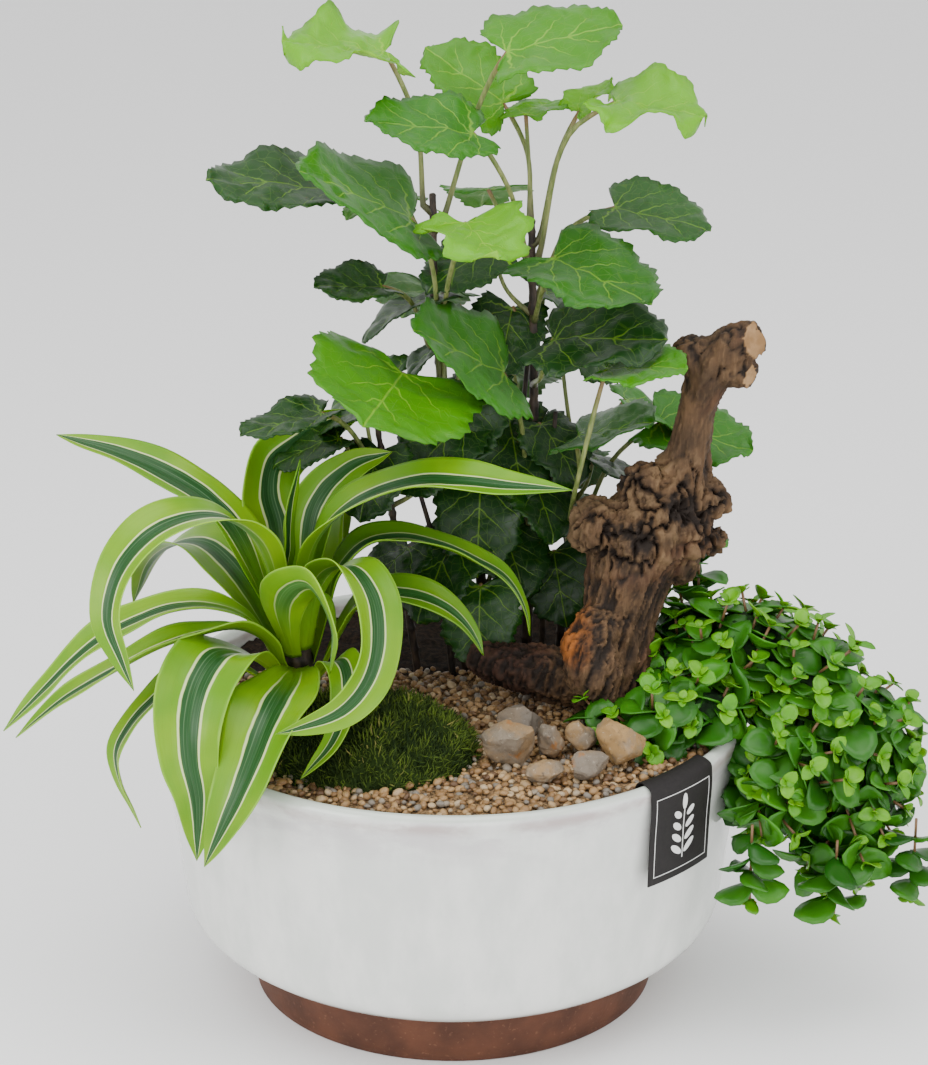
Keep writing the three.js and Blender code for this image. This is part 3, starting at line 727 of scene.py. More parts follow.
# %% [markdown]
# ## The stones
# These are broken lumps of granite, pale grey and ochre, with sharp edges that have worn a little. The
# solid already has the facets. A bevel wears its edges and a few subdivisions give the faces something to
# be rough with. Nine flat cuts at random angles take off the points that stand out, and two sizes of noise
# chip what is left.

# %% Chip the stones
granite = Finish("granite", roughness=0.72, specular=0.4)
here = granite.place()
patches = granite.noise(here, 55, 4, 0.65)
stone_colour = granite.mixed(granite.between(patches, 0.40, 0.60), (0.20, 0.155, 0.105), (0.29, 0.175, 0.068))
stone_colour = granite.mixed(granite.value("tint"), stone_colour, (0.125, 0.108, 0.09))
salt = granite.noise(here, 380, 5, 0.8)
stone_colour = granite.mixed(
    granite.between(salt, 0.56, 0.68, 0.0, 0.75), stone_colour, (0.055, 0.040, 0.028)
)
stone_colour = granite.mixed(granite.between(salt, 0.30, 0.42, 0.6, 0.0), stone_colour, (0.55, 0.49, 0.40))
rust = granite.between(granite.noise(here, 90, 3, 0.6), 0.60, 0.72)
stone_colour = granite.mixed(rust, stone_colour, (0.24, 0.105, 0.028))
granite.paint(stone_colour, bump=salt, strength=0.45, depth=0.0006)
GREYNESS = (0.75, 0.35, 0.5, 0.15, 0.0, 0.25, 0.55)
for number, grey in enumerate(GREYNESS, start=1):
    rock = copy_of_solid(f"stone_{number}", f"broken_stone_{number}")
    apply_modifier(
        rock, "BEVEL", width=0.8 * MM, segments=1, limit_method="ANGLE", angle_limit=math.radians(12)
    )
    apply_modifier(rock, "TRIANGULATE")
    apply_modifier(rock, "SUBSURF", subdivision_type="SIMPLE", levels=2, render_levels=2)
    only(rock)
    bpy.ops.object.mode_set(mode="EDIT")
    bpy.ops.mesh.select_all(action="SELECT")
    bpy.ops.mesh.remove_doubles(threshold=0.05 * MM)
    bpy.ops.object.mode_set(mode="OBJECT")
    points = points_of(rock.data)
    middle = points.mean(axis=0)
    points = middle + (points - middle) * 1.14
    chance = np.random.default_rng(number + 60)
    for way in unit(chance.normal(0, 1, (9, 3))):
        beyond = (points - middle) @ way
        over = np.maximum(beyond - beyond.max() * chance.uniform(0.62, 0.80), 0)
        points = points - np.outer(over, way)
    move_points(rock.data, points)
    normals = normals_of(rock.data)
    chips = 0.2 + roughness_of(points, 110, number) * 0.9 + roughness_of(points, 420, number + 9) * 0.45
    move_points(rock.data, points + normals * (chips * MM)[:, None])
    mark_points(rock, "tint", np.full(len(points), grey))
    smooth_faces(rock, 35)
    rock.data.materials.append(granite.material)
    hand_over(rock, [f"stone_{number}"])
    print(rock.name, triangles(rock), "triangles")

# %% [markdown]
# ## The vine wood
# Old grapevine wood is gnarled: a fibrous trunk with deep vertical furrows, a knot of burls, a smooth waist
# and a forked, sawn-off head. The solid gives the limbs and the burls. Its copy is rebuilt from fine
# squares, which melts the limbs into each other, and is then pushed in and out along its normals: long
# furrows on the trunk, knobs and cracks on the knot. How deep each point lies is kept as a number, so that
# the finish can paint shade into the furrows and a painted highlight onto the crests.

# %% Carve the wood
wood = copy_of_solid("vine_wood", "gnarled_wood")
remeshed(wood, 1.25 * MM)
apply_modifier(wood, "SMOOTH", factor=0.6, iterations=6)
points, normals = points_of(wood.data), normals_of(wood.data)


def band(values, low, high, soft):
    """1 between two heights, fading to 0 over a soft edge."""
    return np.clip((values - low) / soft + 0.5, 0, 1) * np.clip((high - values) / soft + 0.5, 0, 1)


def ridges(points, scale, seed, octaves=3):
    """Sharp crests with rounded hollows, from 0 to 1."""
    return 1 - np.clip(np.abs(roughness_of(points, scale, seed, octaves)) * 2.2, 0, 1)


wood_height = points[:, 2]
knotty = band(wood_height, 0.228, 0.281, 14 * MM)
head = np.clip((wood_height - 0.315) / (12 * MM), 0, 1)
waist = band(wood_height, 0.281, 0.318, 10 * MM)
fibrous = np.clip(1 - knotty - waist - head, 0, 1)
leaning = points - np.outer(wood_height, [0.38, 0.1, 0])
furrows = ridges(leaning * [1, 1, 0.12], 190, 3)
fine_furrows = ridges(leaning * [1, 1, 0.08], 520, 8)
knobs = roughness_of(points, 48, 5)
cracks = ridges(points * [1, 1, 0.6], 88, 6)
splinters = ridges(points * [1, 1, 0.35], 300, 7)
push = fibrous * (1.9 * (furrows - 0.6) + 1.1 * (fine_furrows - 0.5) + 1.2 * knobs)
push += knotty * (5.0 * knobs - 5.0 * cracks**5 + 1.9 * (splinters - 0.5) + 1.4)
push += waist * (0.8 * (furrows - 0.6) + 0.7 * (fine_furrows - 0.5) + 0.5 * knobs)
push += head * (1.6 * knobs - 1.8 * cracks**5 + 0.9 * (splinters - 0.5))
points = points + normals * (push * MM)[:, None]
depth = push / 4 - fibrous * 0.1
print("wood of", triangles(wood), "triangles")

# %% [markdown]
# Two branch ends at the head were sawn off and show pale wood. Points beyond each saw plane are brought
# back to it.

# %% Saw the ends flat
SAW_CUTS = [((146, -7, 345), (0.62, -0.72, 0.32), 16), ((145, -9, 325), (0.65, -0.72, -0.1), 12)]
sawn = np.zeros(len(points))
for middle, away, reach in SAW_CUTS:
    middle, away = np.array(middle) * MM, np.array(away) / np.linalg.norm(away)
    beyond = (points - middle) @ away
    near = np.linalg.norm(points - middle, axis=1) < (reach + 5) * MM
    cut = near & (beyond > 0)
    points[cut] -= np.outer(beyond[cut], away)
    points[cut] += np.outer(roughness_of(points[cut], 300, 4) * 0.35 * MM, away)
    sawn[cut] = 1
move_points(wood.data, points)
mark_points(wood, "depth", np.clip(0.5 + depth * 0.9, 0, 1))
mark_points(wood, "sawn", sawn)
low_left = np.clip((0.070 - points[:, 0]) / 0.010, 0, 1) * band(points[:, 2], 0.188, 0.215, 8 * MM)
mark_points(wood, "orange", low_left * (points[:, 1] < -0.018))
# the arm is the wood's left part, behind the moss, and it is painted darker
arm = np.clip((0.052 - points[:, 0]) / 0.02, 0, 1)
mark_points(wood, "arm", arm)
smooth_faces(wood, 55)
print(int(sawn.sum()), "points on the sawn ends")

# %% Colour the wood
bark_wood = Finish("vine_wood_brown", roughness=0.78, specular=0.3)
here = bark_wood.place()
long_grain = bark_wood.noise(bark_wood.stretched(here, (420, 420, 45)), 1.0, 5, 0.7)
patch = bark_wood.noise(here, 48, 4, 0.6)
brown = bark_wood.mixed(bark_wood.between(patch, 0.35, 0.68), (0.036, 0.019, 0.008), (0.092, 0.049, 0.021))
brown = bark_wood.mixed(bark_wood.between(long_grain, 0.45, 0.72, 0.0, 0.55), brown, (0.155, 0.093, 0.045))
brown = bark_wood.mixed(bark_wood.between(long_grain, 0.25, 0.42, 0.75, 0.0), brown, (0.024, 0.011, 0.006))
red = bark_wood.between(bark_wood.noise(here, 30, 3), 0.5, 0.66, 0.0, 0.5)
brown = bark_wood.mixed(red, brown, (0.075, 0.028, 0.013))
brown = bark_wood.mixed(
    bark_wood.sums("MULTIPLY", bark_wood.value("orange"), 0.85), brown, (0.27, 0.080, 0.010)
)
# the arm goes darker red-brown, partly its own colour and partly painted shade, as it lies behind the moss
brown = bark_wood.mixed(
    bark_wood.sums("MULTIPLY", bark_wood.value("arm"), 0.75), brown, (0.036, 0.013, 0.008)
)
# painted shade: the deepest points, down in the furrows and cracks, are darkened nearly to black
brown = bark_wood.mixed(
    bark_wood.between(bark_wood.value("depth"), 0.10, 0.58, 0.96, 0.0), brown, (0.008, 0.004, 0.002)
)
# painted highlight: the highest points, on the crests, are lightened to a warm tan
brown = bark_wood.mixed(
    bark_wood.between(bark_wood.value("depth"), 0.6, 0.95, 0.0, 0.45), brown, (0.185, 0.115, 0.056)
)
pale = bark_wood.mixed(bark_wood.between(patch, 0.4, 0.6), (0.21, 0.115, 0.045), (0.33, 0.20, 0.095))
brown = bark_wood.mixed(bark_wood.value("sawn"), brown, pale)
wood.data.materials.append(bark_wood.paint(brown, bump=long_grain, strength=0.6, depth=0.0008))
hand_over(wood, ["vine_wood"])
print("wood coloured")

# %% [markdown]
# ## The label
# A strip of stiff black card is folded over the rim, with its short end in the gravel. It starts as a flat
# grid that is carried over the rim, and a Solidify gives it its thickness. On it lie a thin border and a
# plain sprig, each a small shape carried over the rim in the same way.

# %% Fold the label over the rim
label_low, label_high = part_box("label_tag")
label_middle = (label_low + label_high) / 2
LABEL_TURN = math.atan2(label_middle.x, -label_middle.y)
LABEL_HALF = 22.5 * MM
LABEL_PATH = np.array(
    [
        (RIM - 9.9 * MM, SOIL_LEVEL + 4.6 * MM),
        (RIM - 9.7 * MM, HEIGHT - 2.0 * MM),
        (RIM - 7.5 * MM, HEIGHT + 0.6 * MM),
        (RIM - 2.6 * MM, HEIGHT + 0.7 * MM),
        (RIM + 1.0 * MM, HEIGHT - 1.3 * MM),
        (RIM + 1.5 * MM, HEIGHT - 5 * MM),
        (RIM + 0.9 * MM, label_low.z + 24 * MM),
        (RIM + 0.2 * MM, label_low.z + 0.5 * MM),
    ]
)
LABEL_STEPS = np.concatenate([[0], np.cumsum(np.hypot(*np.diff(LABEL_PATH, axis=0).T))])


def smooth_path(values, where, at):
    """A smooth curve through rows of values known at `where`, read at `at`."""
    values, at = np.asarray(values, float), np.clip(at, where[0], where[-1])
    slope = np.gradient(values, where, axis=0)
    part = np.clip(np.searchsorted(where, at, side="right") - 1, 0, len(where) - 2)
    span = (where[part + 1] - where[part])[:, None]
    t = (at - where[part])[:, None] / span
    start, end = values[part], values[part + 1]
    bend = slope[part] * t * (1 - t) ** 2 - slope[part + 1] * t**2 * (1 - t)
    return start + (end - start) * t * t * (3 - 2 * t) + bend * span


def over_the_rim(across, along, proud):
    """Where a point of the flat label comes to lie, in metres across, along and above the card."""
    along = LABEL_STEPS[-1] - along
    spot = smooth_path(LABEL_PATH, LABEL_STEPS, along)
    ahead = smooth_path(LABEL_PATH, LABEL_STEPS, along + 0.2 * MM) - smooth_path(
        LABEL_PATH, LABEL_STEPS, along - 0.2 * MM
    )
    ahead /= np.linalg.norm(ahead, axis=1, keepdims=True)
    outward = spot + np.stack([-ahead[:, 1], ahead[:, 0]], axis=1) * np.asarray(proud)[:, None]
    turn = LABEL_TURN + across / RIM
    return np.stack([outward[:, 0] * np.sin(turn), -outward[:, 0] * np.cos(turn), outward[:, 1]], axis=1)


def lay_on_label(piece, lift=0.0):
    """Carries a flat piece over the rim: its x runs across the label and its y up from the label's foot."""
    points = points_of(piece.data)
    move_points(piece.data, over_the_rim(points[:, 0], points[:, 1], points[:, 2] + lift))
    return piece


bpy.ops.object.select_all(action="DESELECT")
bpy.ops.mesh.primitive_grid_add(x_subdivisions=14, y_subdivisions=64, size=1, location=(0, 0, 0))
label = bpy.context.object
label.name = "folded_label"
bpy.ops.object.mode_set(mode="EDIT")
bpy.ops.transform.resize(value=(LABEL_HALF * 2, LABEL_STEPS[-1], 1), center_override=(0, 0, 0))
bpy.ops.transform.translate(value=(0, LABEL_STEPS[-1] / 2, 0))
bpy.ops.object.mode_set(mode="OBJECT")
lay_on_label(label)
apply_modifier(label, "SOLIDIFY", thickness=0.6 * MM, offset=0)
smooth_faces(label, 50)
card = Finish("black_card", roughness=0.55, specular=0.2)
fibre = card.noise(card.place(), 500, 3)
card.paint(card.mixed(fibre, (0.009, 0.008, 0.008), (0.018, 0.015, 0.015)), bump=fibre, strength=0.15)
label.data.materials.append(card.material)
print("label", round(LABEL_HALF * 2 / MM), "mm wide and", round(LABEL_STEPS[-1] / MM), "mm along the fold")

# %% Draw the border and the sprig
def flat_shape(name, corners, place, size, turn=0.0):
    """A small flat shape with many corners, laid on the label."""
    bpy.ops.object.select_all(action="DESELECT")
    bpy.ops.mesh.primitive_circle_add(vertices=corners, radius=1, fill_type="NGON", location=(0, 0, 0))
    piece = bpy.context.object
    piece.name = name
    bpy.ops.object.mode_set(mode="EDIT")
    bpy.ops.mesh.inset(thickness=0.5)
    bpy.ops.mesh.poke()
    bpy.ops.mesh.select_all(action="SELECT")
    bpy.ops.transform.resize(value=(size[0] * MM, size[1] * MM, 1), center_override=(0, 0, 0))
    bpy.ops.transform.rotate(value=-math.radians(turn), orient_axis="Z", center_override=(0, 0, 0))
    bpy.ops.transform.translate(value=(place[0] * MM, place[1] * MM, 0))
    bpy.ops.object.mode_set(mode="OBJECT")
    return piece


def thin_bar(name, place, size):
    """A thin flat bar with enough corners to follow the curve."""
    bpy.ops.object.select_all(action="DESELECT")
    bpy.ops.mesh.primitive_grid_add(x_subdivisions=16, y_subdivisions=24, size=1, location=(0, 0, 0))
    piece = bpy.context.object
    piece.name = name
    bpy.ops.object.mode_set(mode="EDIT")
    bpy.ops.transform.resize(value=(size[0] * MM, size[1] * MM, 1), center_override=(0, 0, 0))
    bpy.ops.transform.translate(value=(place[0] * MM, place[1] * MM, 0))
    bpy.ops.object.mode_set(mode="OBJECT")
    return piece


marks = [thin_bar("border_bar", (side * 19.3, 24.5), (0.35, 41)) for side in (-1, 1)]
marks += [thin_bar("border_bar", (0, height), (38.9, 0.35)) for height in (4, 45)]
marks.append(thin_bar("sprig_stem", (0, 22.5), (0.6, 27)))
for pair in range(4):
    for side in (-1, 1):
        marks.append(
            flat_shape("sprig_leaf", 14, (side * 4.6, 14.5 + pair * 6.2), (4.6 - pair * 0.5, 1.7), side * 38)
        )
marks.append(flat_shape("sprig_leaf", 14, (0, 39), (1.7, 4.2)))
for piece in marks:
    lay_on_label(piece, 0.42 * MM)
only(marks[0])
for piece in marks:
    piece.select_set(True)
bpy.ops.object.join()
sprig = bpy.context.object
sprig.name = "label_sprig"
apply_modifier(sprig, "SOLIDIFY", thickness=0.12 * MM, offset=0)
ink = Finish("white_ink", roughness=0.5)
sprig.data.materials.append(ink.paint((0.72, 0.72, 0.70)))
hand_over(label, ["label_tag"])
hand_over(sprig, [])
print("sprig of", len(marks), "marks")

# %% [markdown]
# ## Reading a leaf from its solid
# Each leaf's solid is a chain of four-cornered rings from its foot to its tip: two corners on the margins,
# one above the midrib and one below it. Walking from the foot along the edges meets the rings one after
# another, so the solid itself tells where the midrib and the margins run, and which way the upper face
# looks. A fine blade is laid on that.

# %% Helper for walking a leaf's rings
def nearest_cane(point):
    """How far a point is, level, from the nearest cane's box."""
    gaps = []
    for node in frame["nodes"]:
        if "_cane" in node:
            low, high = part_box(node)
            gap = [max(low[k] - point[k], point[k] - high[k], 0) for k in range(3)]
            gaps.append(math.hypot(*gap))
    return min(gaps)


def cane_at(node, height):
    """Where a cane's middle is at a height."""
    corners = points_of(frame["nodes"][node].data)
    low, high = corners[:, 2].min(), corners[:, 2].max()
    gap = np.abs(corners[:, 2] - min(max(height, low + 5 * MM), high - 5 * MM))
    return corners[gap < gap.min() + 3 * MM].mean(axis=0)


def cane_near(spot, height):
    """The middle of the nearest aralia cane to a spot, at a height."""
    middles = [cane_at(node, height) for node in frame["nodes"] if node.startswith("aralia_cane")]
    return min(middles, key=lambda middle: np.linalg.norm((middle - spot)[:2]))


def leaf_rings(node, by_size):
    """The foot, the rings in order and the tip of a leaf's solid. A stalked leaf's foot is its thin end."""
    mesh = bmesh.new()
    mesh.from_mesh(frame["nodes"][node].data)
    bmesh.ops.remove_doubles(mesh, verts=mesh.verts, dist=0.004 * MM)
    ends = [corner for corner in mesh.verts if len(corner.link_edges) == 4]
    spread = lambda end: max((edge.other_vert(end).co - end.co).length for edge in end.link_edges)
    foot = min(ends, key=spread if by_size else lambda end: nearest_cane(end.co))
    steps, met = [[foot]], {foot}
    while True:
        ahead = {edge.other_vert(corner) for corner in steps[-1] for edge in corner.link_edges} - met
        if not ahead:
            break
        steps.append(list(ahead))
        met |= ahead
    rings = []
    for step in steps[1:-1]:
        first = step[0]
        beside = {edge.other_vert(first) for edge in first.link_edges}
        across = next(corner for corner in step[1:] if corner not in beside)
        others = [corner for corner in step if corner not in (first, across)]
        pairs = sorted([(first, across), tuple(others)], key=lambda pair: -(pair[0].co - pair[1].co).length)
        rings.append([np.array(corner.co) for pair in pairs for corner in pair])
    walk = np.array(steps[0][0].co), rings, np.array(steps[-1][0].co)
    mesh.free()
    return walk


def blade_lines(rings, tip):
    """The midrib, the upper face's direction and both margins, ring by ring."""
    middles, faces, lefts, rights = [], [], [], []
    for number, (one, other, high, low) in enumerate(rings):
        margin_middle = (one + other) / 2
        if np.linalg.norm(low - margin_middle) < np.linalg.norm(high - margin_middle):
            high, low = low, high
        middle = (high + low) / 2
        after = (rings[number + 1][2] + rings[number + 1][3]) / 2 if number + 1 < len(rings) else tip
        side = np.cross(after - middle, high - low)
        if (one - middle) @ side > 0:
            one, other = other, one
        middles.append(middle)
        faces.append(unit(high - low))
        lefts.append(one)
        rights.append(other)
    return [np.array(rows) for rows in (middles, faces, lefts, rights)]


foot, rings, tip = leaf_rings("dracaena_leaf_front", False)
print("the front leaf has", len(rings), "rings from", foot.round(3), "to", tip.round(3))

# %% [markdown]
# ## The striped leaves
# A dracaena leaf is a strap with a channel along its midrib, fine lengthwise ribs and a rippled margin. The
# flat blade is modelled once, as a grid with ribs raised on it, and each leaf gets its own copy, laid along
# its own midrib. The upper and under faces have finishes of their own, which the Solidify hands out.

# %% Model the flat striped blade
ACROSS, ALONG = 20, 56
bpy.ops.object.select_all(action="DESELECT")
bpy.ops.mesh.primitive_grid_add(x_subdivisions=ACROSS, y_subdivisions=ALONG, size=2, location=(0, 0, 0))
strap_model = bpy.context.object
strap_model.name = "strap_model"
RIBS = {0: -1.0, 1: -0.35, 3: 0.16, 5: -0.10, 7: 0.14}
for column, lift in RIBS.items():
    bpy.ops.object.mode_set(mode="EDIT")
    bpy.ops.mesh.select_all(action="DESELECT")
    bpy.ops.object.mode_set(mode="OBJECT")
    for point in strap_model.data.vertices:
        point.select = abs(abs(point.co.x) - column * 2 / ACROSS) < 0.01
    bpy.ops.object.mode_set(mode="EDIT")
    bpy.ops.transform.translate(value=(0, 0, lift))
bpy.ops.object.mode_set(mode="OBJECT")
print("a flat blade of", triangles(strap_model), "triangles")

# %% Paint the stripes
def striped_finish(name, lime, dark, streak, line, roughness):
    """Lime margins, a thin pale line on each side and a dark middle with lengthwise streaks."""
    leaf = Finish(name, roughness=roughness, specular=0.25, subsurface=0.06)
    across, along, _ = leaf.parts(leaf.place("UV"))
    off_middle = leaf.sums("MULTIPLY", leaf.sums("ABSOLUTE", leaf.sums("SUBTRACT", across, 0.5)), 2.0)
    wobble = leaf.noise(leaf.stretched(leaf.place("UV"), (1.5, 3, 1)), 2.0, 2)
    off_middle = leaf.sums("ADD", off_middle, leaf.sums("MULTIPLY", leaf.sums("SUBTRACT", wobble, 0.5), 0.16))
    off_middle = leaf.sums("ADD", off_middle, leaf.value("stripe"))
    streaks = leaf.noise(leaf.stretched(leaf.place("UV"), (46, 1.3, 1)), 1.0, 3, 0.6)
    middle = leaf.mixed(leaf.between(streaks, 0.50, 0.66, 0.0, 0.85), dark, streak)
    here = leaf.place()
    clouds = leaf.noise(here, 24, 3)
    margin = leaf.mixed(
        leaf.between(clouds, 0.35, 0.65), lime, tuple(c * f for c, f in zip(lime, (0.62, 0.80, 0.7)))
    )
    margin = leaf.mixed(leaf.between(streaks, 0.5, 0.7, 0.0, 0.25), margin, tuple(c * 0.6 for c in lime))
    fade = leaf.between(along, 0.06, 0.42, 0.0, 1.0)
    inside = leaf.sums("MULTIPLY", leaf.between(off_middle, 0.27, 0.31, 1.0, 0.0), fade)
    colour = leaf.mixed(inside, margin, middle)
    on_line = leaf.between(
        leaf.sums("ABSOLUTE", leaf.sums("SUBTRACT", off_middle, 0.325)), 0.018, 0.045, 0.9, 0.0
    )
    colour = leaf.mixed(leaf.sums("MULTIPLY", on_line, fade), colour, line)
    colour = leaf.mixed(
        leaf.between(off_middle, 0.94, 1.0, 0.0, 0.5), colour, tuple(min(c * 1.6 + 0.06, 1) for c in lime)
    )
    colour = leaf.mixed(leaf.value("shade"), colour, leaf.mixed(0.62, colour, (0.012, 0.06, 0.004)))
    return leaf.paint(
        colour,
        leaf.between(clouds, 0.3, 0.7, roughness * 0.85, roughness * 1.2),
        bump=streaks,
        strength=0.08,
    )


strap_top = striped_finish(
    "striped_leaf", (0.165, 0.33, 0.0), (0.010, 0.060, 0.010), (0.075, 0.155, 0.065), (0.60, 0.66, 0.33),
    0.36,
)
strap_under = striped_finish(
    "striped_leaf_under", (0.18, 0.34, 0.002), (0.05, 0.15, 0.025), (0.11, 0.22, 0.06),
    (0.42, 0.52, 0.20), 0.45,
)

# %% Lay the striped blades
def ripple(u, x, waves, turn, power=2.4):
    """Waves along the margin that die out towards the midrib and both ends."""
    ends = np.clip(u / 0.25, 0, 1) * np.clip((1 - u) / 0.2, 0, 1)
    return np.sin(2 * np.pi * waves * u + turn + np.sign(x) * 0.9) * np.abs(x) ** power * ends


def laid_strap(node, name, seed, shade, stripe):
    """The flat blade laid along one solid leaf."""
    chance = np.random.default_rng(seed)
    foot, rings, tip = leaf_rings(node, False)
    middles, faces, lefts, rights = blade_lines(rings, tip)
    inward = unit(foot - middles[0]) * 4 * MM
    middles = np.vstack([foot + inward, middles, tip])
    lefts = np.vstack([foot + inward + (lefts[0] - middles[1]) * 0.9, lefts, tip])
    rights = np.vstack([foot + inward + (rights[0] - middles[1]) * 0.9, rights, tip])
    faces = np.vstack([faces[0], faces, faces[-1]])
    where = spaced(middles)
    piece = copied(strap_model, name)
    points = points_of(piece.data)
    x, u = points[:, 0], (points[:, 1] + 1) / 2
    middle = smooth_path(middles, where, u)
    face = unit(smooth_path(faces, where, u))
    edge = np.where(x[:, None] < 0, smooth_path(lefts, where, u), smooth_path(rights, where, u)) - middle
    lift = (edge * face).sum(axis=1, keepdims=True)
    flat = edge - lift * face
    size = np.linalg.norm(flat, axis=1) / (16 * MM)
    wave = ripple(u, x, chance.uniform(1.6, 3.2), chance.uniform(0, 6.28)) * 1.7 * size
    wave += 0.5 * roughness_of(points * [0.5, 2.2, 0], 1.0, seed) * np.abs(x) * size
    up = lift[:, 0] * x**2 * 1.15 + (points[:, 2] * np.minimum(size, 1) + wave) * MM
    move_points(piece.data, middle + flat * np.abs(x)[:, None] * 1.12 + face * up[:, None])
    mark_points(piece, "shade", np.full(len(points), shade))
    mark_points(piece, "stripe", np.full(len(points), stripe))
    piece.data.materials.append(strap_top)
    piece.data.materials.append(strap_under)
    bpy.ops.object.mode_set(mode="EDIT")
    bpy.ops.mesh.select_all(action="SELECT")
    bpy.ops.mesh.remove_doubles(threshold=0.03 * MM)
    bpy.ops.object.mode_set(mode="OBJECT")
    apply_modifier(piece, "SOLIDIFY", thickness=0.55 * MM, offset=0, material_offset=1, material_offset_rim=0)
    bpy.ops.object.shade_smooth()
    return hand_over(piece, [node])


striped = sorted(node for node in frame["nodes"] if node.startswith("dracaena_leaf_"))
SHADES = {
    "back_left": 0.45, "back_long": 0.5, "right_droop": 0.55, "right_low": 0.75, "inner_right": 0.35,
    "inner_arch": 0.1, "front": 0.22, "front_left": 0.12, "right_curl": 0.3, "left_low": 0.25,
    "back_upright": 0.15, "front_right": 0.2,
}
STRIPES = {"far_left": -0.16, "youngest": -0.2, "left_long": 0.05, "left_low": 0.05, "right_long": -0.02}
for number, node in enumerate(striped):
    short = node.replace("dracaena_leaf_", "")
    laid_strap(node, "striped_" + short, number + 3, SHADES.get(short, 0.05), STRIPES.get(short, 0.0))
bpy.data.objects.remove(strap_model)
print(len(striped), "striped leaves laid")

# %% [markdown]
# ## The broad leaves
# An aralia leaf is nearly round, notched at its stalk, with a scalloped and toothed margin. Its veins fan
# out from the stalk and branch from the midrib, and the blade bulges between them. One flat grid is
# modelled. Each leaf gets a copy laid on its rings, its outermost points become the teeth, and the list of
# veins below both presses the valleys into the blade and draws the pale lines in the finish.

# %% Model the flat broad blade and the straight stem
bpy.ops.object.select_all(action="DESELECT")
bpy.ops.mesh.primitive_grid_add(x_subdivisions=12, y_subdivisions=60, size=2, location=(0, 0, 0))
blade_model = bpy.context.object
blade_model.name = "blade_model"
STEM_STEPS = 14
stem_model = drawn_up("stem_model", [(1, step) for step in range(STEM_STEPS + 1)], 8)
VEINS = [(0.0, 58, 0.60), (0.0, 96, 0.48), (0.0, 136, 0.26), (0.24, 50, 0.44), (0.52, 46, 0.34)]
VEIN_BOW = 0.55
print("blade", triangles(blade_model), "and stem", triangles(stem_model), "triangles")

# %% Paint the broad leaves
def vein_line(leaf, off, along, start, degrees, reach):
    """One straight vein that leaves the midrib at `start` and thins towards its end."""
    sin, cos = math.sin(math.radians(degrees)), math.cos(math.radians(degrees))
    rise = leaf.sums("SUBTRACT", along, start)
    ahead = leaf.sums("MULTIPLY_ADD", off, sin, leaf.sums("MULTIPLY", rise, cos))
    aside = leaf.sums("ABSOLUTE", leaf.sums("MULTIPLY_ADD", off, cos, leaf.sums("MULTIPLY", rise, -sin)))
    line = leaf.between(aside, 0.003, leaf.between(ahead, 0.0, reach, 0.014, 0.006), 1.0, 0.0)
    return (
        leaf.sums("MULTIPLY", line, leaf.between(ahead, -0.01, 0.01)),
        leaf.between(ahead, reach * 0.7, reach, 1.0, 0.0),
    )


def broad_finish(name, lime, fresh, dark, pale, roughness):
    """Lime when young and dark green when old, that dark green deepened as painted shade, with pale veins and
    a fine net between them.
    """
    leaf = Finish(name, roughness=roughness, specular=0.3, subsurface=0.06)
    spot = leaf.place("UV")
    across, along, _ = leaf.parts(spot)
    sway = leaf.sums("MULTIPLY", leaf.sums("SUBTRACT", leaf.noise(spot, 5, 2), 0.5), 0.16)
    off = leaf.sums("ABSOLUTE", across)
    bow = leaf.sums("MULTIPLY", leaf.sums("MULTIPLY", off, off), -VEIN_BOW)
    bent = leaf.sums("ADD", leaf.sums("ADD", along, bow), sway)
    veins = leaf.between(off, 0.003, 0.014, 1.0, 0.0)
    for start, degrees, reach in VEINS:
        line, fade = vein_line(leaf, off, bent, start, degrees, reach)
        veins = leaf.sums("MAXIMUM", veins, leaf.sums("MULTIPLY", line, fade))
    net = leaf.between(leaf.cells(spot, 11, "DISTANCE_TO_EDGE"), 0.0, 0.05, 1.0, 0.0)
    age = leaf.value("age")
    green = leaf.mixed(leaf.between(age, 0.0, 0.5), lime, fresh)
    green = leaf.mixed(leaf.between(age, 0.4, 1.0), green, dark)
    clouds = leaf.noise(leaf.place(), 38, 4, 0.6)
    green = leaf.mixed(leaf.between(clouds, 0.45, 0.75, 0.0, 0.45), green, leaf.mixed(0.5, green, dark))
    green = leaf.mixed(leaf.between(clouds, 0.25, 0.42, 0.25, 0.0), green, leaf.mixed(0.4, green, lime))
    line_colour = leaf.mixed(0.72, green, pale)
    green = leaf.mixed(leaf.sums("MULTIPLY", net, 0.12), green, line_colour)
    green = leaf.mixed(
        leaf.sums("MULTIPLY", veins, leaf.between(age, 0.0, 1.0, 0.9, 0.42)), green, line_colour
    )
    relief = leaf.sums("SUBTRACT", clouds, leaf.sums("ADD", veins, leaf.sums("MULTIPLY", net, 0.4)))
    return leaf.paint(
        green, leaf.between(clouds, 0.3, 0.7, roughness * 0.85, roughness * 1.25), relief, 0.35, 0.0005
    )


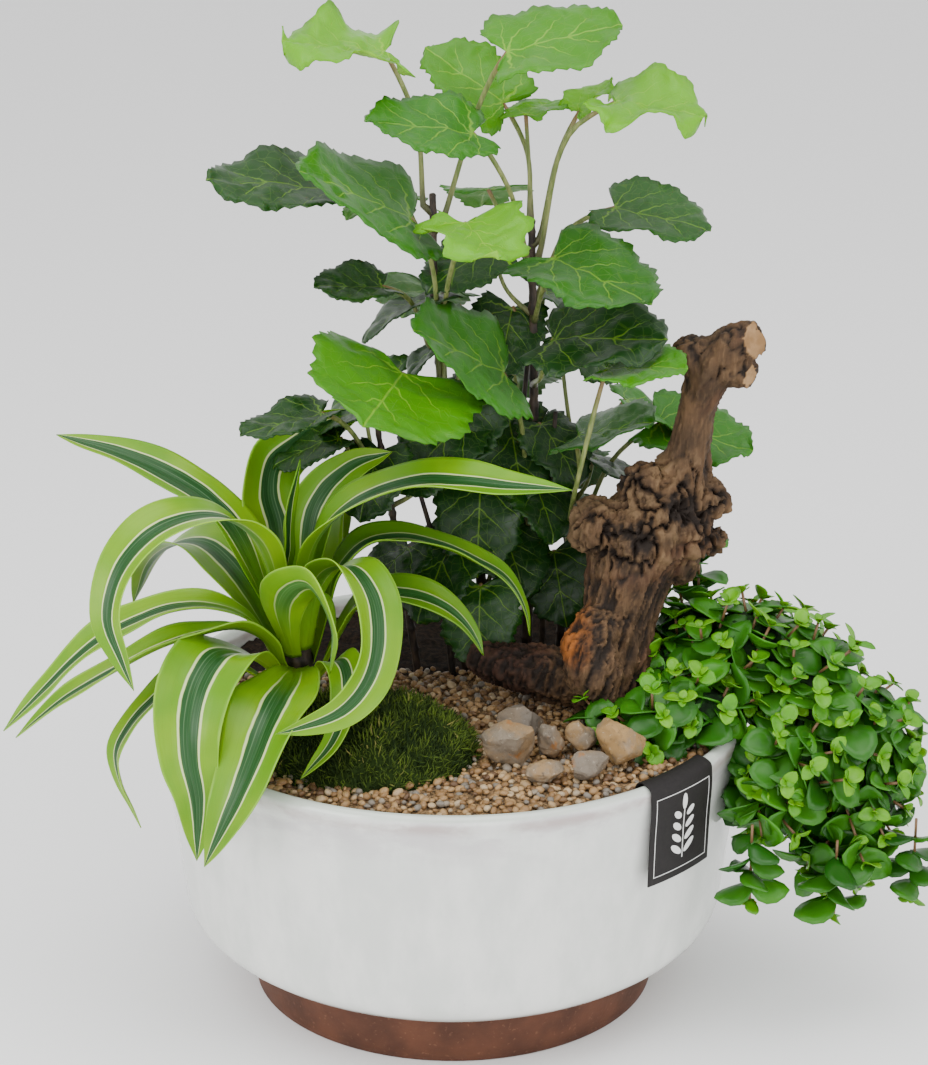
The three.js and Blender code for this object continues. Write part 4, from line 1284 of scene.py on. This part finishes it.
# The dark green of old leaves is its own colour, made darker still as painted shade for the shaded middle of
# the plant.
BROAD = {
    "lime": (0.105, 0.33, 0.0),
    "fresh": (0.024, 0.150, 0.0),
    "dark": (0.004, 0.030, 0.002),
    "pale": (0.22, 0.42, 0.02),
}
broad_top = broad_finish("broad_leaf", roughness=0.38, **BROAD)
BROAD_UNDER = {
    "lime": (0.19, 0.42, 0.02),
    "fresh": (0.075, 0.22, 0.03),
    "dark": (0.028, 0.080, 0.022),
    "pale": (0.27, 0.42, 0.12),
}
broad_under = broad_finish("broad_leaf_under", roughness=0.55, **BROAD_UNDER)
stalk_skin = Finish("leaf_stalk", roughness=0.5, specular=0.4)
here = stalk_skin.place()
streak = stalk_skin.noise(stalk_skin.stretched(here, (500, 500, 90)), 1.0, 3)
olive = stalk_skin.mixed(stalk_skin.between(streak, 0.35, 0.65), (0.10, 0.14, 0.030), (0.20, 0.22, 0.07))
olive = stalk_skin.mixed(
    stalk_skin.between(stalk_skin.value("along"), 0.82, 0.97, 0.0, 0.7), olive, (0.17, 0.065, 0.030)
)
olive = stalk_skin.mixed(
    stalk_skin.between(stalk_skin.value("along"), 0.0, 0.35, 0.75, 0.0), olive, (0.030, 0.018, 0.012)
)
stalk_skin.paint(olive, bump=streak, strength=0.2)
print("leaf finishes ready")

# %% Helpers for laying a blade and a stem
def laid_stem(name, path, radii):
    """The straight stem carried along a path, as thick as the radii say."""
    piece = copied(stem_model, name)
    points = points_of(piece.data) / MM
    where = spaced(path)
    spine = smooth_path(path, where, np.linspace(0, 1, STEM_STEPS + 1))
    ahead = unit(np.gradient(spine, axis=0))
    side, sides = unit(np.cross(ahead[0], [0.3, 1, 0.2])), []
    for direction in ahead:
        side = unit(side - (side @ direction) * direction)
        sides.append(side)
    step = np.rint(points[:, 2]).astype(int)
    across = np.array(sides)[step]
    thick = np.interp(step / STEM_STEPS, where, radii)[:, None]
    move_points(
        piece.data,
        spine[step] + (points[:, :1] * across + points[:, 1:2] * np.cross(ahead[step], across)) * thick,
    )
    mark_points(piece, "along", step / STEM_STEPS)
    bpy.ops.object.shade_smooth()
    return piece


def vein_gap(across, along):
    """How far a place on the flat blade is from the nearest vein."""
    gap = np.abs(across)
    along = along - VEIN_BOW * across**2
    for start, degrees, reach in VEINS:
        sin, cos = math.sin(math.radians(degrees)), math.cos(math.radians(degrees))
        ahead = np.abs(across) * sin + (along - start) * cos
        aside = np.abs(np.abs(across) * cos - (along - start) * sin)
        gap = np.minimum(gap, np.where((ahead > 0) & (ahead < reach), aside, 1))
    return gap


def set_uv(piece, spots):
    """Gives each point of a piece its own place in the finish."""
    corners = np.empty(len(piece.data.loops), int)
    piece.data.loops.foreach_get("vertex_index", corners)
    piece.data.uv_layers.active.data.foreach_set("uv", spots[corners].ravel())


def laid_blade(name, lines, tip, seed, age, teeth=15, crumple=1.0):
    """The flat blade laid along its midrib and out to its margins, toothed, quilted and waved."""
    chance = np.random.default_rng(seed)
    middles, faces, lefts, rights = lines
    middles, lefts, rights = [np.vstack([rows, tip]) for rows in (middles, lefts, rights)]
    faces = np.vstack([faces, faces[-1]])
    where = (spaced(lefts) + spaced(rights)) / 2
    piece = copied(blade_model, name)
    points = points_of(piece.data)
    x, u = points[:, 0], (points[:, 1] + 1) / 2
    reach, hand = np.abs(x), np.sign(x)
    middle = smooth_path(middles, where, u)
    edge = np.where(x[:, None] < 0, smooth_path(lefts, where, u), smooth_path(rights, where, u)) - middle
    face = unit(smooth_path(faces, where, u))
    ahead = unit(smooth_path(middles, where, u + 0.03) - smooth_path(middles, where, u - 0.03))
    length = np.linalg.norm(np.diff(middles, axis=0), axis=1).sum()
    lift = (edge * face).sum(axis=1)
    flat = edge - lift[:, None] * face
    forward = (flat * ahead).sum(axis=1)
    lateral = np.linalg.norm(flat - forward[:, None] * ahead, axis=1)
    along = np.interp(u, where, spaced(middles)) + reach * forward / length
    across = x * lateral / length
    size = min(length / (55 * MM), 1.15)
    ends = np.clip(u / 0.06, 0, 1) * np.clip((1 - u) / 0.05, 0, 1)
    tooth = ((u * teeth + hand * 0.21 + chance.uniform(0, 1)) % 1 - 0.42) * 3.0 * size * reach**12
    lobes = np.sin(
        2 * np.pi * (4.6 * u + hand * 0.17 + chance.uniform(0, 1))
    ) * 1.5 * crumple**2 * size * reach**3
    turn = chance.uniform(0, 2 * np.pi)
    wave = np.sin(2 * np.pi * (1.6 + 0.5 * hand) * u + turn + hand) * 2.6 * crumple**2 * size * reach**2
    wave += 1.8 * crumple * size * roughness_of(points * [1.5, 2.4, 0], 1.0, seed)
    quilt = (1 - np.exp(-((vein_gap(across, along) / 0.05) ** 2))) * 1.5 * size * (1 - reach**4)
    up = lift / MM * reach**1.7 + (wave * ends + quilt)
    outward = unit(flat) * ((tooth + lobes) * ends)[:, None]
    move_points(piece.data, middle + flat * reach[:, None] + (outward + face * up[:, None]) * MM)
    set_uv(piece, np.column_stack([across, along]))
    mark_points(piece, "age", np.full(len(points), age))
    for finish in (broad_top, broad_under):
        piece.data.materials.append(finish)
    bpy.ops.object.mode_set(mode="EDIT")
    bpy.ops.mesh.select_all(action="SELECT")
    bpy.ops.mesh.remove_doubles(threshold=0.05 * MM)
    bpy.ops.object.mode_set(mode="OBJECT")
    apply_modifier(piece, "SOLIDIFY", thickness=0.5 * MM, offset=0, material_offset=1, material_offset_rim=0)
    bpy.ops.object.shade_smooth()
    return piece


def joined_to(stalk, blade):
    """The stalk becomes part of the blade's piece."""
    stalk.data.materials.append(stalk_skin.material)
    only(blade)
    stalk.select_set(True)
    bpy.ops.object.join()
    return blade


print("laying helpers ready")

# %% Lay the broad leaves
AGES = {
    "top_left": 0.0, "young_right": 0.05, "high_right": 0.0, "middle_young": 0.05, "top": 0.34,
    "top_back": 0.3, "front_left": 0.33, "front": 0.48, "right_light": 0.36, "high_left": 0.55,
    "upper_left": 0.6, "right": 0.66, "low_right": 0.72, "behind_wood": 0.55, "far_left": 0.86,
    "left_small": 0.92, "upper_right": 0.78, "right_dark": 0.98, "left_edge": 0.9,
}
STALK_RADII = np.array([2.3, 1.7, 1.4, 1.3, 1.25, 1.25, 1.4, 0.8]) * MM
for number, (short, age) in enumerate(AGES.items()):
    node = "aralia_leaf_" + short
    foot, rings, tip = leaf_rings(node, True)
    slim = [ring for ring in rings if np.linalg.norm(ring[0] - ring[1]) < 4 * MM]
    wide = blade_lines(rings[len(slim):], tip)
    inside_cane = cane_near(foot, foot[2] - 3 * MM)
    path = np.vstack([inside_cane, foot, [np.mean(ring, axis=0) for ring in slim], wide[0][0]])
    radii = np.interp(np.linspace(0, 1, len(path)), np.linspace(0, 1, len(STALK_RADII)), STALK_RADII)
    blade = laid_blade("broad_" + short, wide, tip, number + 40, age, crumple=1.7 if age < 0.1 else 1.0)
    hand_over(joined_to(laid_stem("stalk_" + short, path, radii), blade), [node])
print(len(AGES), "broad leaves laid,", triangles(blade), "triangles each")

# %% [markdown]
# The canes are thin, dark and ringed with old leaf scars. The middle of the plant is crowded with small
# dark leaves, so more of the same blade are added there. They have no solid, so a short outline says how a
# new blade is ringed.

# %% Ring the canes
def ringed_cane(node, step):
    """A refined copy of a cane with a raised scar every `step`."""
    cane = copy_of_solid(node, node.replace("_cane", "_bark"))
    remeshed(cane, 1.3 * MM)
    points, normals = points_of(cane.data), normals_of(cane.data)
    scars = np.exp(-((((points[:, 2] + roughness_of(points, 30, 2) * 3 * MM) / step) % 1 - 0.5) / 0.09) ** 2)
    move_points(
        cane.data, points + normals * ((scars * 0.5 + roughness_of(points, 240, 3) * 0.25) * MM)[:, None]
    )
    smooth_faces(cane, 60)
    cane.data.materials.append(cane_skin.material)
    return cane


cane_skin = Finish("cane_bark", roughness=0.6, specular=0.35)
here = cane_skin.place()
rough = cane_skin.noise(cane_skin.stretched(here, (260, 260, 120)), 1.0, 4)
dusky = cane_skin.mixed(cane_skin.between(rough, 0.35, 0.68), (0.010, 0.007, 0.006), (0.055, 0.036, 0.024))
cane_skin.paint(dusky, bump=rough, strength=0.5)
canes = sorted(node for node in frame["nodes"] if "_cane" in node)
for node in canes:
    hand_over(ringed_cane(node, 13 * MM), [node])
print(len(canes), "canes ringed")

# %% Fill the middle with small dark leaves
BLADE_OUTLINE = [
    (-0.08, 0.16, 0.02), (-0.14, 0.33, 0.07), (-0.03, 0.46, 0.17), (0.17, 0.50, 0.31), (0.42, 0.49, 0.50),
    (0.68, 0.41, 0.70), (0.90, 0.23, 0.89),
]
FILLERS = [
    ((-5, 44, 352), 190, 15, 46, 0.95), ((20, 52, 372), 215, 10, 42, 0.9),
    ((30, 56, 342), 255, 45, 38, 1.0), ((4, 44, 334), 205, 25, 38, 1.0),
    ((12, 46, 306), 250, 40, 48, 1.0), ((28, 50, 286), 285, 45, 46, 1.0),
    ((38, 44, 260), 300, 35, 42, 1.0), ((4, 32, 288), 215, 30, 46, 0.95),
    ((-10, 28, 270), 200, 20, 42, 1.0), ((14, 34, 254), 265, 50, 46, 1.0),
    ((24, 48, 228), 295, 35, 42, 1.0), ((0, 24, 226), 235, 35, 44, 1.0),
    ((14, 18, 206), 265, 55, 42, 0.9), ((-56, 14, 286), 190, 10, 36, 0.95),
    ((-44, 20, 298), 150, 15, 34, 0.9), ((-36, 14, 280), 245, 40, 38, 1.0),
    ((60, 58, 234), 325, 30, 42, 0.95), ((52, 52, 212), 280, 45, 40, 1.0),
    ((72, 54, 262), 340, 20, 40, 0.95), ((44, 44, 284), 315, 35, 38, 1.0),
    ((-22, 14, 228), 220, 30, 40, 1.0), ((46, 64, 348), 25, 15, 40, 0.85),
    ((54, 66, 324), 345, 25, 38, 0.9), ((-24, 62, 396), 150, 10, 36, 0.6),
    ((36, 54, 440), 60, -15, 30, 0.25), ((88, 64, 290), 5, 25, 42, 0.5), ((30, 88, 304), 80, 25, 48, 0.8),
    ((-10, 84, 344), 110, 20, 48, 0.75), ((52, 94, 254), 60, 30, 46, 0.85),
    ((0, 80, 262), 120, 30, 46, 0.9), ((18, 80, 396), 95, 10, 44, 0.5),
    ((-30, 70, 300), 160, 20, 44, 0.85),
]


def new_blade_lines(joint, heading, tilt, width, roll):
    """Midrib, faces and margins of a blade that has no solid."""
    turn, slope = math.radians(heading), math.radians(tilt)
    ahead = np.array([math.cos(turn) * math.cos(slope), math.sin(turn) * math.cos(slope), -math.sin(slope)])
    side = unit(np.cross(ahead, [0, 0, 1]))
    face = np.cross(side, ahead)
    side, face = side * math.cos(roll) + face * math.sin(roll), face * math.cos(roll) - side * math.sin(roll)
    middles, lefts, rights = [], [], []
    for margin_along, out, middle_along in BLADE_OUTLINE:
        sag = -0.22 * face
        middles.append(joint + width * (middle_along * ahead + middle_along**2 * sag))
        for hand, rows in ((-1, lefts), (1, rights)):
            rows.append(
                joint + width * (
                    margin_along * ahead + hand * out * side + (margin_along**2 - out**2 * 0.5) * sag
                )
            )
    tip = joint + width * (ahead - 0.25 * face)
    return (np.array(middles), np.tile(face, (len(middles), 1)), np.array(lefts), np.array(rights)), tip


chance = np.random.default_rng(77)
for number, (joint, heading, tilt, width, age) in enumerate(FILLERS, start=1):
    joint = np.array(joint) * MM
    height = max(joint[2] - chance.uniform(22, 44) * MM, SOIL_LEVEL + 4 * MM)
    foot = cane_near(joint, height)
    elbow = foot + (joint - foot) * [0.6, 0.6, 0.5] + chance.normal(0, 2.5 * MM, 3)
    lines, tip = new_blade_lines(joint, heading, tilt, width * MM, chance.uniform(-0.35, 0.35))
    blade = laid_blade(f"inner_leaf_{number}", lines, tip, number + 90, age)
    stalk = laid_stem(f"inner_stalk_{number}", np.array([foot, elbow, joint]), np.array([1.6, 1.1, 1.1]) * MM)
    hand_over(joined_to(stalk, blade), [])
STEM_FEET = [
    (6, 44, 300, -14), (30, 62, 340, 10), (46, 48, 290, 6), (16, 66, 330, -8), (62, 54, 240, 12),
    (0, 34, 270, -22),
]
for number, (x, y, top, lean) in enumerate(STEM_FEET, start=1):
    path = np.array([(x, y, 146), (x + lean * 0.3, y, 146 + (top - 146) * 0.5), (x + lean, y - 4, top)]) * MM
    slim = laid_stem(f"slim_cane_{number}", path, np.array([2.0, 1.6, 1.1]) * MM)
    slim.data.materials.append(cane_skin.material)
    hand_over(slim, [])
bpy.data.objects.remove(blade_model)
print(len(FILLERS), "inner leaves and", len(STEM_FEET), "slim canes")

# %% [markdown]
# ## The creeper
# The creeper is a tumbling mass of short shoots with small, round, glossy leaves in crossed pairs, lime
# green at the tips. A dark core made from the solid closes the mass. Shoots start inside it and end a
# little beyond its surface, leaning outward, and up or down with the place they grow in.

# %% Model one creeper leaf and one piece of its stem
bpy.ops.object.select_all(action="DESELECT")
bpy.ops.mesh.primitive_circle_add(vertices=12, radius=0.5, fill_type="NGON", location=(0, 0, 0))
small_leaf = bpy.context.object
small_leaf.name = "creeper_leaf"
bpy.ops.object.mode_set(mode="EDIT")
bpy.ops.mesh.inset(thickness=0.2)
bpy.ops.mesh.poke()
bpy.ops.mesh.select_all(action="SELECT")
bpy.ops.transform.resize(value=(0.88, 1, 1), center_override=(0, 0, 0))
bpy.ops.transform.translate(value=(0, 0.5, 0))
bpy.ops.object.mode_set(mode="OBJECT")
points = points_of(small_leaf.data)
points[:, 2] = 0.45 * np.abs(points[:, 0]) ** 1.5 - 0.20 * points[:, 1] ** 2
points[:, 1] += 0.05 * (points[:, 1] > 0.95) - 0.08 * (points[:, 1] < 0.05)
move_points(small_leaf.data, points)
apply_modifier(small_leaf, "SOLIDIFY", thickness=0.035, offset=0)
bpy.ops.object.select_all(action="DESELECT")
bpy.ops.mesh.primitive_cylinder_add(vertices=5, radius=1, depth=1, location=(0, 0, 0.5))
bpy.ops.object.transform_apply(location=True, rotation=True, scale=True)
stem_bit = bpy.context.object
stem_bit.name = "creeper_stem_bit"
print("a creeper leaf has", triangles(small_leaf), "triangles")

# %% Shrink the core
core = copy_of_solid("creeper_mound", "creeper_core")
remeshed(core, 3.2 * MM)
points, normals = points_of(core.data), normals_of(core.data)
mound_points, mound_normals = points.copy(), normals.copy()
points = points - normals * ((7.5 + 2.5 * roughness_of(points, 110, 3)) * MM)[:, None]
move_points(core.data, points)
smooth_faces(core, 60)
deep_green = Finish("creeper_shadow", roughness=0.8, specular=0.2)
shade = deep_green.noise(deep_green.place(), 160, 4, 0.6)
deep = deep_green.mixed(deep_green.between(shade, 0.4, 0.7), (0.003, 0.012, 0.002), (0.012, 0.06, 0.006))
core.data.materials.append(deep_green.paint(deep, bump=shade, strength=0.8, depth=0.001))
hand_over(core, ["creeper_mound"])
print("core of", triangles(core), "triangles")

# %% Grow the shoots
chance = np.random.default_rng(5)
ROOT = np.array([118, -18, 158]) * MM
tips, ways = [], []
for pick in chance.permutation(len(mound_points)):
    spot, normal = mound_points[pick], mound_normals[pick]
    if all(np.linalg.norm(spot - other) > 13.0 * MM for other in tips):
        away = unit(spot - ROOT)
        drop = np.clip((150 * MM - spot[2]) / (45 * MM), 0, 1)
        way = unit(normal * 0.75 + away * 0.55 + [0, 0, 0.55 - 1.15 * drop] + chance.normal(0, 0.22, 3))
        tips.append(spot)
        ways.append(way)
tips, ways = np.array(tips), np.array(ways)
inside_bowl = (np.hypot(tips[:, 0], tips[:, 1]) < RIM + 3 * MM) & (tips[:, 2] < SOIL_LEVEL + 9 * MM)
tips, ways = tips[~inside_bowl], ways[~inside_bowl]
lengths = chance.uniform(26, 42, len(tips)) * MM
chains = []
for tip, way, length in zip(tips, ways, lengths):
    end = np.minimum(tip + way * chance.uniform(-3, 9) * MM, [232 * MM, 1, 1])
    start = end - way * length - [0, 0, 0.16 * length]
    middle = (start + end) / 2 + chance.normal(0, 1.5 * MM, 3) + [0, 0, 0.06 * length]
    chains.append((np.array([start, middle, end]), 4, 1.0))
for node in [name for name in frame["nodes"] if name.startswith("creeper_runner")]:
    low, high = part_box(node)
    middle = (low + high) / 2
    top, bottom = high.z, low.z
    if node.endswith("upright"):
        top, bottom = low.z - 12 * MM, high.z - 3 * MM
    ends = [
        (middle.x, middle.y, top + (9 * MM if top > bottom else 0)),
        middle,
        (middle.x, middle.y, bottom + 4 * MM),
    ]
    chains.append((np.array([tuple(end) for end in ends]), 5, 1.0))


def leaves_along(path, nodes, size):
    """Crossed pairs of leaves on a shoot: places, frames, lengths and tints, and the stem's pieces."""
    where = spaced(path)
    at = np.linspace(0.25, 1, nodes)
    spots = smooth_path(path, where, at)
    ahead = unit(smooth_path(path, where, at + 0.02) - smooth_path(path, where, at - 0.04))
    side = unit(np.cross(ahead[0], chance.normal(0, 1, 3)))
    rows = []
    for number, (spot, way) in enumerate(zip(spots, ahead)):
        side = unit(np.cross(way, side))
        young = number == nodes - 1
        long = chance.uniform(14.5, 20.5) * size * (0.5 if young else 1) * MM
        turns = (side, -side, np.cross(way, side), -np.cross(way, side)) if young else (side, -side)
        for pair, out in enumerate(turns):
            lean = 0.75 if young else 0.35
            along = unit(out + way * lean + chance.normal(0, 0.16, 3))
            face = unit(way + [0, 0, 0.55] + chance.normal(0, 0.2, 3))
            face = unit(face - (face @ along) * along)
            long_here = long * (0.6 if pair > 1 else 1)
            age = 0.3 * number / nodes + (0.4 if young else 0) + chance.uniform(0, 0.25)
            rows.append(
                (
                    spot + way * (0.6 * MM if pair > 1 else 0),
                    (np.cross(along, face), along, face),
                    long_here,
                    age,
                )
            )
    return rows, np.vstack([path[0], spots])


rows, bits = [], []
for path, nodes, size in chains:
    leaves, stops = leaves_along(path, nodes, size)
    rows += leaves
    bits += list(zip(stops, np.diff(stops, axis=0)))
places, frames, sizes, tints = [np.array(column) for column in zip(*rows)]
print(len(chains), "shoots with", len(places), "leaves")

# %% Set the leaves and the stems down
even = np.repeat(sizes[:, None], 3, axis=1) * chance.uniform(0.88, 1.12, (len(sizes), 3))
foliage = set_down("creeper_leaves", small_leaf, places, frames, even, np.clip(tints, 0, 1))
starts, spans = [np.array(column) for column in zip(*bits)]
far = np.linalg.norm(spans, axis=1)
thin = np.column_stack([np.full(len(far), 0.75 * MM), np.full(len(far), 0.75 * MM), far])
stems = set_down(
    "creeper_stems", stem_bit, starts, turned_frames(spans, np.zeros(len(far))), thin, np.zeros(len(far))
)

glossy = Finish("creeper_green", roughness=0.36, specular=0.32, subsurface=0.05)
tint = glossy.value("tint")
green = glossy.mixed(glossy.between(tint, 0.0, 0.55), (0.009, 0.072, 0.003), (0.045, 0.22, 0.003))
green = glossy.mixed(glossy.between(tint, 0.5, 1.0), green, (0.125, 0.34, 0.002))
clouds = glossy.noise(glossy.place(), 120, 3)
glossy.paint(glossy.mixed(glossy.between(clouds, 0.5, 0.75, 0.0, 0.4), green, (0.008, 0.065, 0.004)))
russet = Finish("creeper_stem", roughness=0.5)
foliage.data.materials.append(glossy.material)
stems.data.materials.append(russet.paint((0.16, 0.085, 0.035)))
runners = [name for name in frame["nodes"] if name.startswith("creeper_runner")]
hand_over(foliage, runners)
hand_over(stems, [])
for model in (small_leaf, stem_bit, stem_model):
    bpy.data.objects.remove(model)
print("creeper of", triangles(foliage) + triangles(stems), "triangles")

# %% [markdown]
# ## Close
# The bounds of all the pieces are printed beside the bounds of the solids. Nothing may reach past the
# solids by more than a few millimetres, because the solids are what other tools see.

# %% Compare the sizes and finish
bpy.context.view_layer.update()
full_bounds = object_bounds()
sizes = {"solid": [list(corner) for corner in solid_bounds], "full": [list(corner) for corner in full_bounds]}
for k, axis in enumerate("xyz"):
    print(axis, *(round(bounds[end][k] / MM, 1) for bounds in (solid_bounds, full_bounds) for end in (0, 1)))
everything = [piece for piece in bpy.data.objects if piece.type == "MESH" and not piece.hide_render]
print(len(everything), "pieces,", sum(triangles(piece) for piece in everything), "triangles")
